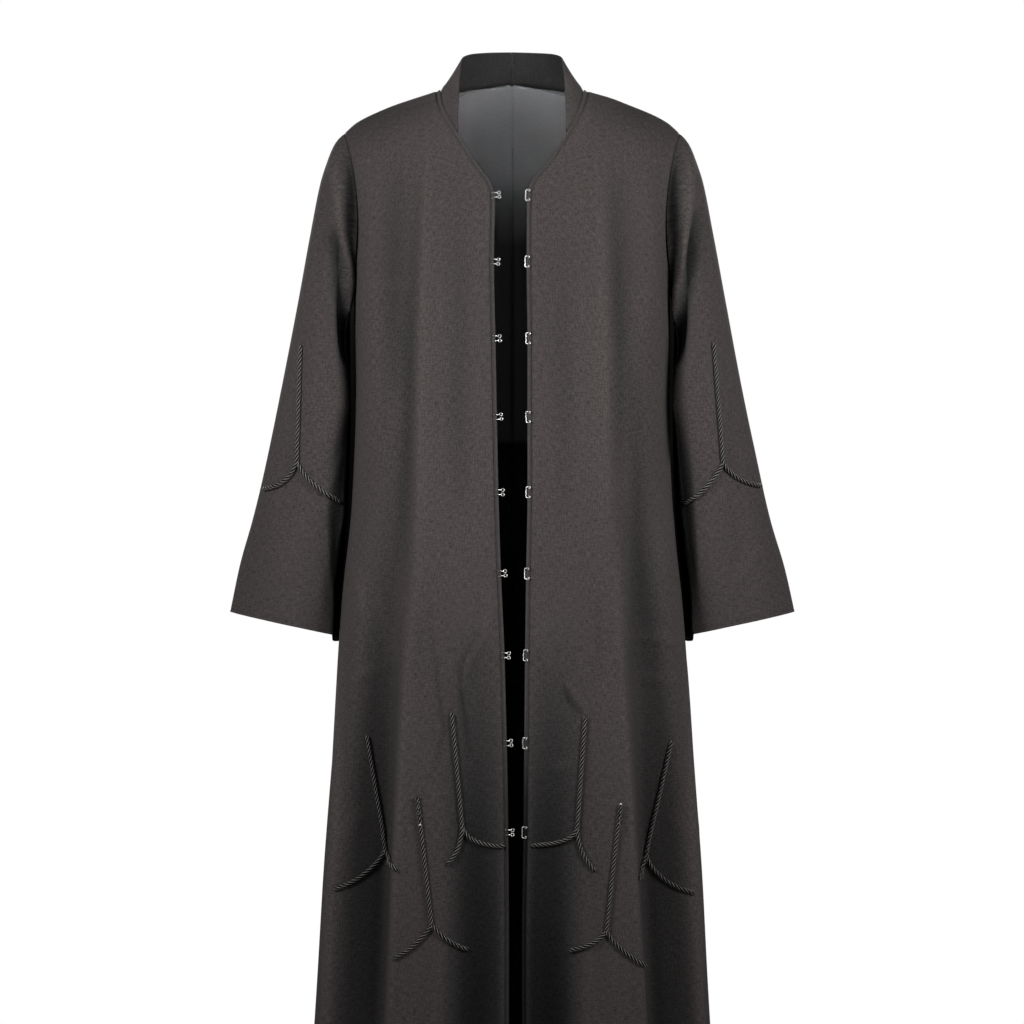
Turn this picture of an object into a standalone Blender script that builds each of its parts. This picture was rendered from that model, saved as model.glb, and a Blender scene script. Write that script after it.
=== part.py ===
"""An open-fronted abaya that keeps the shape it has when it is worn.

Every size is in millimetres and becomes metres when a mesh is made. +Z is up, the front faces -Y,
and the origin is the base of the neck, level with the shoulder seams where they meet the collar.
Right and left are the wearer's, so the right side has negative X.
"""

import math
from collections import namedtuple

import bmesh
import bpy
import numpy as np
from mathutils import Vector
from mathutils.bvhtree import BVHTree

MM = 0.001
GARMENT = "abaya"
SIDES = {"right": -1, "left": 1}

# A distance too small to count, a share too small to count, and the shares over which a slope is measured
SPECK = 0.01
TRACE = 0.0001
PROBE = 0.002

# Cloth and seams
CLOTH = 1.4
COLLAR_CLOTH = 1.8
LINING_CLOTH = 1.0
SEAM_GAP = 0.3
BAND_WIDTH = 4.5
BAND_PROUD = 0.7

# Heights above the origin
SHOULDER = 2
UNDERARM = -235
HEM = -1420
LINING_END = -420

# How the cloth rounds over the shoulders, how square the body's oval is, and the shoulder seam from the side of
# the neck to its tip
SHOULDER_ROUND = 200
SQUARENESS = 2.5
POWER = 2 / SQUARENESS
Seam = namedtuple("Seam", "out height")
SHOULDER_SEAM = (
    Seam(86, SHOULDER),
    Seam(120, -9),
    Seam(160, -24),
    Seam(186, -37),
    Seam(201, -50),
)

# The body of the garment below the underarm, and the depth of its front and back
Section = namedtuple("Section", "height half_width front back")
BODY = (
    Section(UNDERARM, 190, 125, 105),
    Section(-370, 188, 127, 102),
    Section(-490, 192, 132, 108),
    Section(-610, 204, 142, 122),
    Section(-730, 213, 152, 138),
    Section(-910, 224, 166, 163),
    Section(-1118, 237, 182, 190),
    Section(HEM, 256, 200, 220),
)

# How far each front's edge stands from the middle, from the neck to the hem
Edge = namedtuple("Edge", "height right left")
EDGES = (
    Edge(SHOULDER, 86, 86),
    Edge(-14, 84, 83),
    Edge(-31, 78, 77),
    Edge(-53, 66, 66),
    Edge(-92, 43, 42),
    Edge(-119, 24, 21),
    Edge(-134, 20, 17.5),
    Edge(-211, 21, 17),
    Edge(-301, 19.3, 18),
    Edge(-481, 15.8, 18),
    Edge(-576, 12.8, 16.4),
    Edge(-671, 8.7, 15.1),
    Edge(-876, 4.3, 13.3),
    Edge(-1000, 3.5, 11.5),
    Edge(HEM, 4, 12),
)

# Long folds of the skirt. An angle is 0 at the front's middle, 90 at the side seam and 180 at the back's
# middle. A fold grows from its top over its run. Its sides spread before and after it, in degrees, and
# drift moves its top towards the front. A negative depth goes into the garment.
Fold = namedtuple("Fold", "side angle top run depth before after drift")
FOLDS = (
    Fold("right", 8, -640, 500, -9, 8, 11, 0),
    Fold("right", 33, -260, 500, 5, 12, 9, 3),
    Fold("right", 47, -300, 700, -42, 15, 19, 7),
    Fold("right", 73, -560, 400, 7, 11, 12, 0),
    Fold("left", 8, -640, 500, -9, 9, 11, 0),
    Fold("left", 34, -230, 500, 6, 11, 9, 3),
    Fold("left", 51, -290, 700, -39, 16, 18, 9),
    Fold("left", 76, -560, 400, 6, 10, 11, 0),
    Fold("right", 100, -600, 500, -24, 11, 12, 0),
    Fold("right", 128, -430, 650, -34, 15, 14, -4),
    Fold("right", 158, -380, 700, -30, 13, 15, -3),
    Fold("left", 103, -600, 500, -22, 12, 11, 0),
    Fold("left", 131, -400, 650, -31, 14, 15, -4),
    Fold("left", 160, -420, 700, -33, 14, 13, -3),
)

# The back neck and the centre back seam
NECK_HALF_WIDTH = 86
NECK_BACK = 70
NECK_RISE = 14

# The armhole: a ring from the shoulder tip, where its angle is 0, through the front at 90 to the underarm
TIP = np.array((201.0, 0.0, -50.0))
UNDER = np.array((190.0, 0.0, float(UNDERARM)))
ARMHOLE_DEPTH = 62
ARMHOLE_BOW = 12
TIP_LIFT = (0.62, 0.74)

# The sleeve. Its outer line hangs from the shoulder tip and its inner line from the underarm.
Outline = namedtuple("Outline", "height out")
SLEEVE_OUTER = (
    Outline(-50, 201),
    Outline(-58, 209.5),
    Outline(-66, 214.5),
    Outline(-79, 220),
    Outline(-110, 230),
    Outline(-168, 241),
    Outline(-254, 256),
    Outline(-341, 272),
    Outline(-427, 290),
    Outline(-514, 310),
    Outline(-571, 326),
    Outline(-624, 338),
)
CUFF_OUTER = -624
CUFF_INNER = (192, -660)
INNER_TUCK = 20
TUCK_SHARE = 0.3
CUFF_BACK = 34
BODY_CLEARANCE = 6
CLEAR_SHARE = 0.08
BOW_SHARE = 0.3

# The sleeve's depth from front to back, halved, by its share of the length
Depth = namedtuple("Depth", "share depth")
SLEEVE_DEPTHS = (
    Depth(0, ARMHOLE_DEPTH),
    Depth(0.4, 68),
    Depth(1, 64),
)

# Soft folds of the sleeve, as angles round it and shares of its length, mirrored from arm to arm
Crease = namedtuple("Crease", "angle lean start end depth width")
SLEEVE_CREASES = (
    Crease(78, 20, 0.02, 0.42, 5, 22),
    Crease(118, 8, 0.05, 0.75, -7, 24),
    Crease(40, 6, 0.02, 0.30, -3, 18),
    Crease(262, -16, 0.05, 0.55, 5, 24),
    Crease(225, -5, 0.10, 0.80, -7, 26),
)

# The collar's top edge, by its share of the way from the centre back to where the collar dies out
Stand = namedtuple("Stand", "share across back up")
COLLAR_TOP = (
    Stand(0, 0, 56, 54),
    Stand(0.18, 27, 52, 53),
    Stand(0.34, 49, 38, 50),
    Stand(0.46, 60, 17, 43),
    Stand(0.6, 62, -12, 24),
    Stand(0.78, 63.2, -50, -10),
    Stand(1, 64.3, -84, -50),
)
COLLAR_SHOULDER_SHARE = 0.55
COLLAR_GAP = 0.4

# Couched cords. A motif is a stem, from its top to its fork, and two branches. A branch leaves the fork,
# bends towards its turn and stops at its end. Each place is (across, up) as seen from the front. A bend is
# about 0.9 of the length of its two straight sides.
CORD_RADIUS = 2.6
CORD_STEP = 11
CORD_SIDES = 6
CORD_NUDGE = 0.1
CORD_SHORTEST = 1
BEND_SHARE = 0.9
BEND_POINTS = 3
PUSHES = 12
BETWEEN = 12
FAR = 1000
Motif = namedtuple("Motif", "name panel top fork main_turn main_end branch_turn branch_end")
MOTIFS = (
    Motif("sleeve_right", "sleeve_right", (-250, -305), (-255, -444), (-264, -474), (-296, -477),
          (-245, -469), (-206, -492)),
    Motif("sleeve_left", "sleeve_left", (238, -302), (250, -446), (264, -469), (297, -473),
          (231, -481), (207, -494)),
    Motif("inner_right", "front_right_skirt", (-70, -738), (-58.5, -869), (-53, -892), (-16, -892),
          (-59, -898), (-76, -913)),
    Motif("inner_left", "front_left_skirt", (85, -742), (76, -871), (73, -891), (25, -890),
          (76, -900), (97, -922)),
    Motif("middle_right", "front_right_skirt", (-110, -835), (-92.5, -983), (-106, -1007), (-137, -1023),
          (-76, -1006), (-51, -1012)),
    Motif("middle_left", "front_left_skirt", (126, -844), (109, -991), (121.5, -1012), (153, -1031),
          (96, -1008), (67, -1013)),
    Motif("outer_right", "front_right_skirt", (-171, -767), (-149, -902), (-169, -935), (-209, -949),
          (-142, -914), (-133, -921)),
    Motif("outer_left", "front_left_skirt", (187.6, -774), (158, -909), (172, -942), (215, -954),
          (153.5, -918), (147, -931)),
)

# Hooks and eyes: the heights of the nine pairs, and the bent wire of each
FASTENINGS = (-133, -211, -301, -393, -481, -576, -671, -773, -876)
WIRE = 0.45
WIRE_SIDES = 4
RING = 2.1
RING_SPREAD = 3.0
RING_TURN = 280
RING_POINTS = 8
HOOK_REACH = 5
HOOK_LEG = 11
HOOK_TURN = (90, 126, 162)
EYE_HALF_HEIGHT = 6.5
EYE_REACH = 2
EYE_DEPTH = 5
EYE_CORNER = 1.2

# The grids of points that the pieces are made from. The rows above the underarm are shares of the way down
# from the shoulder seam. Collar, sleeves and body share them, so that their edges meet corner to corner. Each
# front and back is one cut of cloth, held here in two solids that part at the hip's row.
YOKE = (0, 0.06, 0.12, 0.18, 0.24, 0.3, 0.4, 0.49, 0.58, 0.68, 0.79, 0.9, 1)
COLLAR_ROW = 4
NECK_ROW = 5
COLLAR_END = YOKE[COLLAR_ROW]
NECK_SHARE = YOKE[NECK_ROW]
SKIRT_ROWS = 14
HIP_ROW = len(YOKE) + 3
FRONT_ACROSS = (0, 0.09, 0.18, 0.26, 0.33, 0.38, 0.42, 0.46, 0.5, 0.55, 0.6, 0.66, 0.72, 0.78, 0.84, 0.92, 1)
BACK_COLUMNS = 14
LINING_COLUMNS = 7
LINING_ROWS = 5
LINING_EASE = 0.9
LINING_REACH = 0.94
LINING_DROP = 3
SLEEVE_ROWS = 12
COLLAR_ROWS = 2

Finish = namedtuple("Finish", "color roughness metallic")
FINISHES = {
    "cloth": Finish((0.058, 0.051, 0.050), 0.85, 0),
    "band": Finish((0.085, 0.080, 0.078), 0.7, 0),
    "lining": Finish((0.125, 0.125, 0.135), 0.4, 0),
    "cord": Finish((0.018, 0.015, 0.014), 0.5, 0),
    "wire": Finish((0.45, 0.44, 0.42), 0.3, 1),
}


def unit(vector):
    return vector / np.linalg.norm(vector)


def eased(share):
    """0 to 1 with level ends, for a share that may lie outside them."""
    share = min(max(share, 0), 1)
    return share * share * (3 - 2 * share)


def rounding(fall):
    """How far out a quarter circle stands, as a share of its radius, this far down from its top."""
    return math.sqrt(1 - (1 - min(fall, 1)) ** 2)


def curve(places, values):
    """A smooth curve through rows of a table, which doesn't swing past them."""
    place = np.array(places, float)
    value = np.array(values, float)
    if place[0] > place[-1]:
        place, value = place[::-1], value[::-1]
    step = np.diff(place)
    slope = np.diff(value) / step
    tangent = np.concatenate(([slope[0]], np.zeros(len(slope) - 1), [slope[-1]]))
    for i in range(1, len(slope)):
        if slope[i - 1] * slope[i] > 0:
            tangent[i] = 2 * slope[i - 1] * slope[i] / (slope[i - 1] + slope[i])

    def at(where):
        where = min(max(where, place[0]), place[-1])
        i = min(int(np.searchsorted(place, where, side="right")) - 1, len(step) - 1)
        t = (where - place[i]) / step[i]
        bend = t * t * (3 - 2 * t)
        start = t * (1 - t) ** 2 * step[i] * tangent[i]
        end = t * t * (t - 1) * step[i] * tangent[i + 1]
        return value[i] * (1 - bend) + value[i + 1] * bend + start + end

    return at


half_width = curve([s.height for s in BODY], [s.half_width for s in BODY])
front_depth = curve([s.height for s in BODY], [s.front for s in BODY])
back_depth = curve([s.height for s in BODY], [s.back for s in BODY])
seam_height = curve([s.out for s in SHOULDER_SEAM], [s.height for s in SHOULDER_SEAM])
edge_out = {side: curve([e.height for e in EDGES], [getattr(e, side) for e in EDGES]) for side in SIDES}
sleeve_out = curve([o.height for o in SLEEVE_OUTER], [o.out for o in SLEEVE_OUTER])
sleeve_depth = curve([d.share for d in SLEEVE_DEPTHS], [d.depth for d in SLEEVE_DEPTHS])
collar_top = [curve([s.share for s in COLLAR_TOP], [s[i] for s in COLLAR_TOP]) for i in (1, 2, 3)]


def fold_depth(side, angle, height):
    """How far the skirt's folds move the cloth out at one place."""
    depth = 0
    for fold in FOLDS:
        if fold.side != side:
            continue
        grown = eased((fold.top - height) / fold.run)
        away = angle - fold.angle + fold.drift * (1 - grown)
        spread = fold.before if away < 0 else fold.after
        if grown > 0 and abs(away) < spread:
            depth += fold.depth * grown * (0.5 + 0.5 * math.cos(math.pi * away / spread))
    return depth


def trunk(side, angle, height):
    """A point of the body below the underarm, on a rounded oval that the folds move in and out."""
    sine = math.sin(math.radians(angle))
    cosine = math.cos(math.radians(angle))
    wide = half_width(height)
    deep = front_depth(height) if cosine > 0 else back_depth(height)
    x = wide * abs(sine) ** POWER
    y = -math.copysign(deep * abs(cosine) ** POWER, cosine)
    outward = unit(np.array(((x / wide) ** (SQUARENESS - 1) / wide,
                             math.copysign((abs(y) / deep) ** (SQUARENESS - 1) / deep, y))))
    x, y = np.array((x, y)) + outward * fold_depth(side, angle, height)
    return np.array((SIDES[side] * x, y, height))


def skirt_height(down):
    """The height of a row of the skirt, whose rows run from 1 at the underarm to 2 at the hem."""
    return UNDERARM + (HEM - UNDERARM) * (down - 1)


def armhole(side, angle):
    """A point of the ring that the sleeve is set into."""
    turn = math.radians(angle)
    point = (TIP + UNDER) / 2 + math.cos(turn) * (TIP - UNDER) / 2
    point = point + np.array((-ARMHOLE_BOW * math.sin(turn) ** 2, -ARMHOLE_DEPTH * math.sin(turn), 0))
    return point * (SIDES[side], 1, 1)


def edge_angle(side, height):
    """The angle round the body at which a front's edge lies."""
    return math.degrees(math.asin((edge_out[side](height) / half_width(height)) ** (1 / POWER)))


def front_edge(side, height):
    """A point of a front's edge, down the neck and then down the opening."""
    if height < UNDERARM:
        return trunk(side, edge_angle(side, height), height)
    out = edge_out[side](height)
    oval = (1 - (out / half_width(UNDERARM)) ** SQUARENESS) ** (1 / SQUARENESS)
    depth = front_depth(UNDERARM) * rounding((SHOULDER - height) / SHOULDER_ROUND) * oval
    return np.array((SIDES[side] * out, -depth, height))


def yoke(side, inner, across, down, facing, level):
    """A point above the underarm, on a row that runs from an inner point to the armhole.

    A row is a stretch of the body's oval, squeezed at the top to a line along the shoulder seam. Its heights
    and its rounding pass from those of the inner point to those of the armhole, level at a middle seam.
    """
    down = max(down, TRACE)
    outer = armhole(side, facing * 180 * down)
    deep = front_depth(UNDERARM) if facing > 0 else back_depth(UNDERARM)
    outer_fall = (TIP[2] - outer[2]) / SHOULDER_ROUND
    arm = math.acos(min((abs(outer[1]) / (deep * rounding(outer_fall))) ** (1 / POWER), 1))
    wide = abs(outer[0]) / math.sin(arm) ** POWER
    start = math.asin((abs(inner[0]) / wide) ** (1 / POWER))
    inner_fall = 1 - math.sqrt(max(0, 1 - (abs(inner[1]) / (deep * math.cos(start) ** POWER)) ** 2))
    angle = start + (arm - start) * across
    mixed = across * (1 - level) + across * across * level
    depth = deep * rounding(inner_fall * (1 - mixed) + outer_fall * mixed) * math.cos(angle) ** POWER
    x = wide * math.sin(angle) ** POWER
    seam_share = (x - inner[0] * SIDES[side]) / (abs(outer[0]) - inner[0] * SIDES[side])
    seam_x = NECK_HALF_WIDTH + (TIP[0] - NECK_HALF_WIDTH) * seam_share
    straight = SHOULDER + (TIP[2] - SHOULDER) * mixed
    height = inner[2] * (1 - mixed) + outer[2] * mixed + (seam_height(seam_x) - straight) * (1 - eased(down))
    return np.array((SIDES[side] * x, -facing * depth, height))


def front(side, across, down):
    """A point of a front, across from its edge and down from the shoulder seam."""
    if down >= 1:
        height = skirt_height(down)
        start = edge_angle(side, height)
        return trunk(side, start + (90 - start) * across, height)
    return yoke(side, front_edge(side, SHOULDER + (UNDERARM - SHOULDER) * down), across, down, 1, 0)


def back_neck(side, share):
    """A point of the back neck, from the shoulder at 0 to the centre back at 1."""
    turn = math.pi / 2 * share
    return np.array((SIDES[side] * NECK_HALF_WIDTH * math.cos(turn), NECK_BACK * math.sin(turn),
                     SHOULDER + NECK_RISE * math.sin(turn) ** 2))


def back_middle(side, down):
    """A point of the back neck, and then of the centre back seam."""
    if down < NECK_SHARE:
        return back_neck(side, down / NECK_SHARE)
    share = (down - NECK_SHARE) / (1 - NECK_SHARE)
    top = SHOULDER + NECK_RISE
    deep = back_depth(UNDERARM)
    return np.array((0, deep - (deep - NECK_BACK) * (1 - share) ** 2, top + (UNDERARM - top) * share))


def back(side, across, down):
    """A point of a back, across from the neck or the centre back seam and down from the shoulder seam."""
    if down >= 1:
        return trunk(side, 180 - 90 * across, skirt_height(down))
    return yoke(side, back_middle(side, down), across, down, -1, eased(down / NECK_SHARE))


def sleeve_inner(share):
    """The sleeve's inner line, from the underarm to the cuff. It is tucked in, so that the cloth lies along
    the body's side once it has been moved clear of it."""
    out, up = CUFF_INNER
    tucked = UNDER[0] + (out - UNDER[0]) * share - INNER_TUCK * eased(share / TUCK_SHARE)
    return np.array((tucked, UNDER[1] + (CUFF_BACK - UNDER[1]) * share, UNDER[2] + (up - UNDER[2]) * share))


def sleeve_outer(share):
    """The sleeve's outer line, from the shoulder tip to the cuff."""
    up = TIP[2] + (CUFF_OUTER - TIP[2]) * share
    return np.array((sleeve_out(up), TIP[1] + (CUFF_BACK - TIP[1]) * share, up))


def clear_of_body(point, share):
    """The point, moved out to the side where it would come too near the body."""
    x, y, z = point
    wide = half_width(z) + BODY_CLEARANCE
    deep = (front_depth(z) if y < 0 else back_depth(z)) + BODY_CLEARANCE
    if abs(y) < deep:
        needed = wide * (1 - (abs(y) / deep) ** SQUARENESS) ** (1 / SQUARENESS)
        x = max(x, x + (needed - x) * eased(share / CLEAR_SHARE))
    return np.array((x, y, z))


def crease_depth(angle, share):
    """How far the sleeve's soft folds move the cloth out at one place."""
    depth = 0
    for crease in SLEEVE_CREASES:
        along = (share - crease.start) / (crease.end - crease.start)
        away = (angle - crease.angle - crease.lean * along + 180) % 360 - 180
        if 0 < along < 1 and abs(away) < crease.width:
            across = 0.5 + 0.5 * math.cos(math.pi * away / crease.width)
            depth += crease.depth * math.sin(math.pi * along) * across
    return depth


def sleeve(side, around, share):
    """A point of a sleeve, by its angle round the arm and its share of the length."""
    turn = math.radians(around)
    outer = sleeve_outer(share)
    inner = sleeve_inner(share)
    bow = ARMHOLE_BOW * max(0, 1 - share / BOW_SHARE) ** 2 * math.sin(turn) ** 2
    spoke = math.cos(turn) * (outer - inner) / 2 + np.array((-bow, -sleeve_depth(share) * math.sin(turn), 0))
    point = (outer + inner) / 2 + spoke + unit(spoke) * crease_depth(around, share)
    return clear_of_body(point, share) * (SIDES[side], 1, 1)


def collar_base(side, share):
    """The collar's sewn edge: the back neck, and then the front's edge down to where the collar dies out."""
    if share < COLLAR_SHOULDER_SHARE:
        return back_neck(side, 1 - share / COLLAR_SHOULDER_SHARE)
    down = COLLAR_END * (share - COLLAR_SHOULDER_SHARE) / (1 - COLLAR_SHOULDER_SHARE)
    return front_edge(side, SHOULDER + (UNDERARM - SHOULDER) * down)


def collar(side, share, up):
    """A point of the stand collar, up from its sewn edge."""
    top = np.array([part(share) for part in collar_top]) * (SIDES[side], 1, 1)
    base = collar_base(side, share)
    sewn = base + unit(top - base) * COLLAR_GAP
    return sewn + (top - sewn) * up


def outward(surface, side, across, down, inside, limits):
    """The unit direction straight out of a surface, away from a point inside it. At a middle seam it stays
    in the garment's middle plane."""
    low, high = limits
    along = surface(side, min(across + PROBE, high[0]), down) - surface(side, max(across - PROBE, low[0]), down)
    fall = surface(side, across, min(down + PROBE, high[1])) - surface(side, across, max(down - PROBE, low[1]))
    normal = np.cross(along, fall)
    point = surface(side, across, down)
    if abs(point[0]) < SPECK:
        normal[0] = 0
    normal = unit(normal)
    return normal if normal @ (point - inside) > 0 else -normal


def body_inside(point):
    return np.array((0, 0, min(point[2], UNDERARM)))


def shoulder_tip_lift(side, normal, angle):
    """Near the shoulder tip, sleeve and body share the direction of their thickness, so their walls don't meet."""
    turn = math.radians(angle)
    shared = max(0, math.cos(turn))
    out, up = TIP_LIFT
    tip = unit(np.array((SIDES[side] * out * shared, -math.sin(turn), up * shared)))
    return unit(normal * (1 - shared) + tip * shared)


def body_lift(surface, side, across, down):
    normal = outward(surface, side, across, down, body_inside(surface(side, across, down)), ((0, 0), (1, 2)))
    if across > 1 - PROBE and down < 1:
        angle = 180 * down if surface is front else -180 * down
        normal = shoulder_tip_lift(side, normal, angle)
    return normal


def drawn_back(grid, start=0.0, end=0.0, top=0.0, bottom=0.0):
    """A grid of points whose seam edges are drawn back a little, row by row and column by column."""
    grid = grid.copy()
    for row in grid:
        row[0] += start * unit(row[1] - row[0])
        row[-1] += end * unit(row[-2] - row[-1])
    for first, second in zip(grid[0], grid[1]):
        first += top * unit(second - first)
    for last, above in zip(grid[-1], grid[-2]):
        last += bottom * unit(above - last)
    return grid


def split(a, b, c, d):
    """Two triangles for the four corners of a grid's cell, cut along the shorter diagonal."""
    if np.linalg.norm(a - c) <= np.linalg.norm(b - d):
        return (0, 1, 2), (0, 2, 3)
    return (0, 1, 3), (1, 2, 3)


def wall(name, outer, inner, finish, closed=False):
    """A closed body between two grids of points with the same cells. A tube's rows run round and close.

    The two grids are worked out from the piece's own surface, so that pieces that meet at a seam share the
    direction of their thickness there and stay a seam's gap apart.
    """
    bm = bmesh.new()
    rows, columns = len(outer), len(outer[0])
    skins = [[[bm.verts.new(Vector(p * MM)) for p in row] for row in grid] for grid in (outer, inner)]
    cells = columns if closed else columns - 1
    for r in range(rows - 1):
        for c in range(cells):
            corners = ((r, c), (r + 1, c), (r + 1, (c + 1) % columns), (r, (c + 1) % columns))
            for triangle in split(*(outer[i][j] for i, j in corners)):
                for skin in skins:
                    bm.faces.new([skin[corners[k][0]][corners[k][1]] for k in triangle])
    rims = [[(r, c), (r, (c + 1) % columns)] for r in (0, rows - 1) for c in range(cells)]
    if not closed:
        rims += [[(r, c), (r + 1, c)] for c in (0, columns - 1) for r in range(rows - 1)]
    for (r1, c1), (r2, c2) in rims:
        bm.faces.new((skins[0][r1][c1], skins[0][r2][c2], skins[1][r2][c2], skins[1][r1][c1]))
    bmesh.ops.recalc_face_normals(bm, faces=bm.faces)
    mesh = bpy.data.meshes.new(name)
    bm.to_mesh(mesh)
    bm.free()
    mesh.shade_smooth()
    return add(name, mesh, finish)


def add(name, data, finish):
    """An object in the garment's collection, with a material of its own."""
    thing = bpy.data.objects.new(name, data)
    bpy.data.collections[GARMENT].objects.link(thing)
    material = bpy.data.materials.new(name)
    material.use_nodes = True
    shader = material.node_tree.nodes["Principled BSDF"]
    look = FINISHES[finish]
    shader.inputs["Base Color"].default_value = (*look.color, 1)
    shader.inputs["Roughness"].default_value = look.roughness
    shader.inputs["Metallic"].default_value = look.metallic
    data.materials.append(material)
    return thing


def body_rows():
    return list(YOKE[:-1]) + [1 + i / SKIRT_ROWS for i in range(SKIRT_ROWS + 1)]


def from_edge(side, down, width):
    """The share of a front's width that lies this far in from its edge."""
    start = front(side, 0, down)
    along = unit(front(side, 0, min(down + PROBE, 2)) - front(side, 0, max(down - PROBE, 0)))
    low, high = 0.0, 1.0
    while high - low > TRACE * TRACE:
        middle = (low + high) / 2
        apart = np.linalg.norm(np.cross(front(side, middle, down) - start, along))
        low, high = (middle, high) if apart < width else (low, middle)
    return low


def parted(name, grids, finish):
    """A panel in two solids, above and below the hip's row, a seam's gap apart."""
    half = SEAM_GAP / 2
    upper = [drawn_back(g[:HIP_ROW + 1], bottom=half) for g in grids]
    lower = [drawn_back(g[HIP_ROW:], top=half) for g in grids]
    return [wall(f"{name}_bodice", *upper, finish), wall(f"{name}_skirt", *lower, finish)]


def front_piece(side):
    outer, inner = [], []
    for down in body_rows():
        start = from_edge(side, down, BAND_WIDTH + SEAM_GAP)
        across = [start + (1 - start) * a for a in FRONT_ACROSS]
        points = [front(side, a, down) for a in across]
        outer.append(points)
        inner.append([p - CLOTH * body_lift(front, side, a, down) for p, a in zip(points, across)])
    half = SEAM_GAP / 2
    grids = [drawn_back(np.array(g), end=half, top=half) for g in (outer, inner)]
    return parted(f"front_{side}", grids, "cloth")


def back_piece(side):
    outer, inner = [], []
    for down in body_rows():
        across = [i / (BACK_COLUMNS - 1) for i in range(BACK_COLUMNS)]
        points = [back(side, a, down) for a in across]
        outer.append(points)
        inner.append([p - CLOTH * body_lift(back, side, a, down) for p, a in zip(points, across)])
    half = SEAM_GAP / 2
    grids = [drawn_back(np.array(g), start=half, end=half, top=half) for g in (outer, inner)]
    return parted(f"back_{side}", grids, "cloth")


def lining_piece(side):
    """The back lining, which hangs from the neck just inside the back."""
    low = (LINING_END - UNDERARM) / (HEM - UNDERARM)
    rows = list(YOKE[:-1]) + [1 + low * i / (LINING_ROWS - 1) for i in range(LINING_ROWS)]
    outer, inner = [], []
    for down in rows:
        across = [LINING_REACH * i / (LINING_COLUMNS - 1) for i in range(LINING_COLUMNS)]
        lifts = [body_lift(back, side, a, down) for a in across]
        points = [back(side, a, down) - (CLOTH + LINING_EASE) * n for a, n in zip(across, lifts)]
        outer.append(points)
        inner.append([p - LINING_CLOTH * n for p, n in zip(points, lifts)])
    grids = [drawn_back(np.array(g), start=SEAM_GAP / 2, top=LINING_DROP) for g in (outer, inner)]
    return [wall(f"lining_{side}", *grids, "lining")]


def band_piece(side):
    """The narrow piping along the neck and down the front's edge, a little proud of the cloth."""
    outer, inner = [], []
    for down in body_rows():
        across = (0, from_edge(side, down, BAND_WIDTH))
        lifts = [body_lift(front, side, a, down) for a in across]
        points = [front(side, a, down) for a in across]
        outer.append([p + BAND_PROUD * n for p, n in zip(points, lifts)])
        inner.append([p - CLOTH * n for p, n in zip(points, lifts)])
    grids = [drawn_back(np.array(g), top=SEAM_GAP / 2) for g in (outer, inner)]
    return [wall(f"edge_band_{side}", *grids, "band")]


def sleeve_piece(side):
    outer, inner = [], []
    turns = [180 * down for down in YOKE] + [360 - 180 * down for down in YOKE[-2:0:-1]]
    for row in range(SLEEVE_ROWS + 1):
        share = row / SLEEVE_ROWS
        centre = (sleeve_outer(share) + sleeve_inner(share)) / 2 * (SIDES[side], 1, 1)
        points, insides = [], []
        for around in turns:
            point = sleeve(side, around, share)
            lift = outward(sleeve, side, around, share, centre, ((-90, 0), (450, 1)))
            if row == 0:
                lift = shoulder_tip_lift(side, lift, around)
                point = point + np.array((SIDES[side] * SEAM_GAP, 0, 0))
            points.append(point)
            insides.append(point - CLOTH * lift)
        outer.append(points)
        inner.append(insides)
    return [wall(f"sleeve_{side}", np.array(outer), np.array(inner), "cloth", closed=True)]


def collar_piece(side):
    outer, inner = [], []
    shares = [COLLAR_SHOULDER_SHARE * (1 - down / NECK_SHARE) for down in YOKE[NECK_ROW:0:-1]]
    shares += [COLLAR_SHOULDER_SHARE + (1 - COLLAR_SHOULDER_SHARE) * down / COLLAR_END
               for down in YOKE[:COLLAR_ROW + 1]]
    for row in range(COLLAR_ROWS + 1):
        up = row / COLLAR_ROWS
        points = [collar(side, s, up) for s in shares]
        lifts = [outward(collar, side, s, up, np.array((0, 0, p[2])), ((0, 0), (1, 1)))
                 for s, p in zip(shares, points)]
        outer.append(points)
        inner.append([p - COLLAR_CLOTH * n for p, n in zip(points, lifts)])
    grids = [drawn_back(np.array(g), start=SEAM_GAP / 2) for g in (outer, inner)]
    return [wall(f"collar_{side}", *grids, "cloth")]


def tube(name, points, radius, sides, finish):
    """A round wire or cord along a line of points. Each step of a bevel's resolution adds 2 sides to its 4."""
    data = bpy.data.curves.new(name, "CURVE")
    data.dimensions = "3D"
    data.bevel_depth = radius * MM
    data.bevel_resolution = (sides - 4) // 2
    data.use_fill_caps = True
    spline = data.splines.new("POLY")
    spline.points.add(len(points) - 1)
    for place, point in zip(spline.points, points):
        place.co = (*(np.array(point) * MM), 1)
    return add(name, data, finish)


def surface_of(piece):
    """The faces of a finished piece, to lay things on."""
    bm = bmesh.new()
    bm.from_mesh(piece.data)
    tree = BVHTree.FromBMesh(bm)
    bm.free()
    return tree


def bend(start, turn, end, step):
    """Evenly spaced places along a bend that leaves its start towards its turn."""
    start, turn, end = (np.array(p, float) for p in (start, turn, end))
    length = np.linalg.norm(turn - start) + np.linalg.norm(end - turn)
    count = max(BEND_POINTS, round(BEND_SHARE * length / step) + 1)
    shares = np.linspace(0, 1, count)
    return [(1 - t) ** 2 * start + 2 * t * (1 - t) * turn + t * t * end for t in shares]


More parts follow.
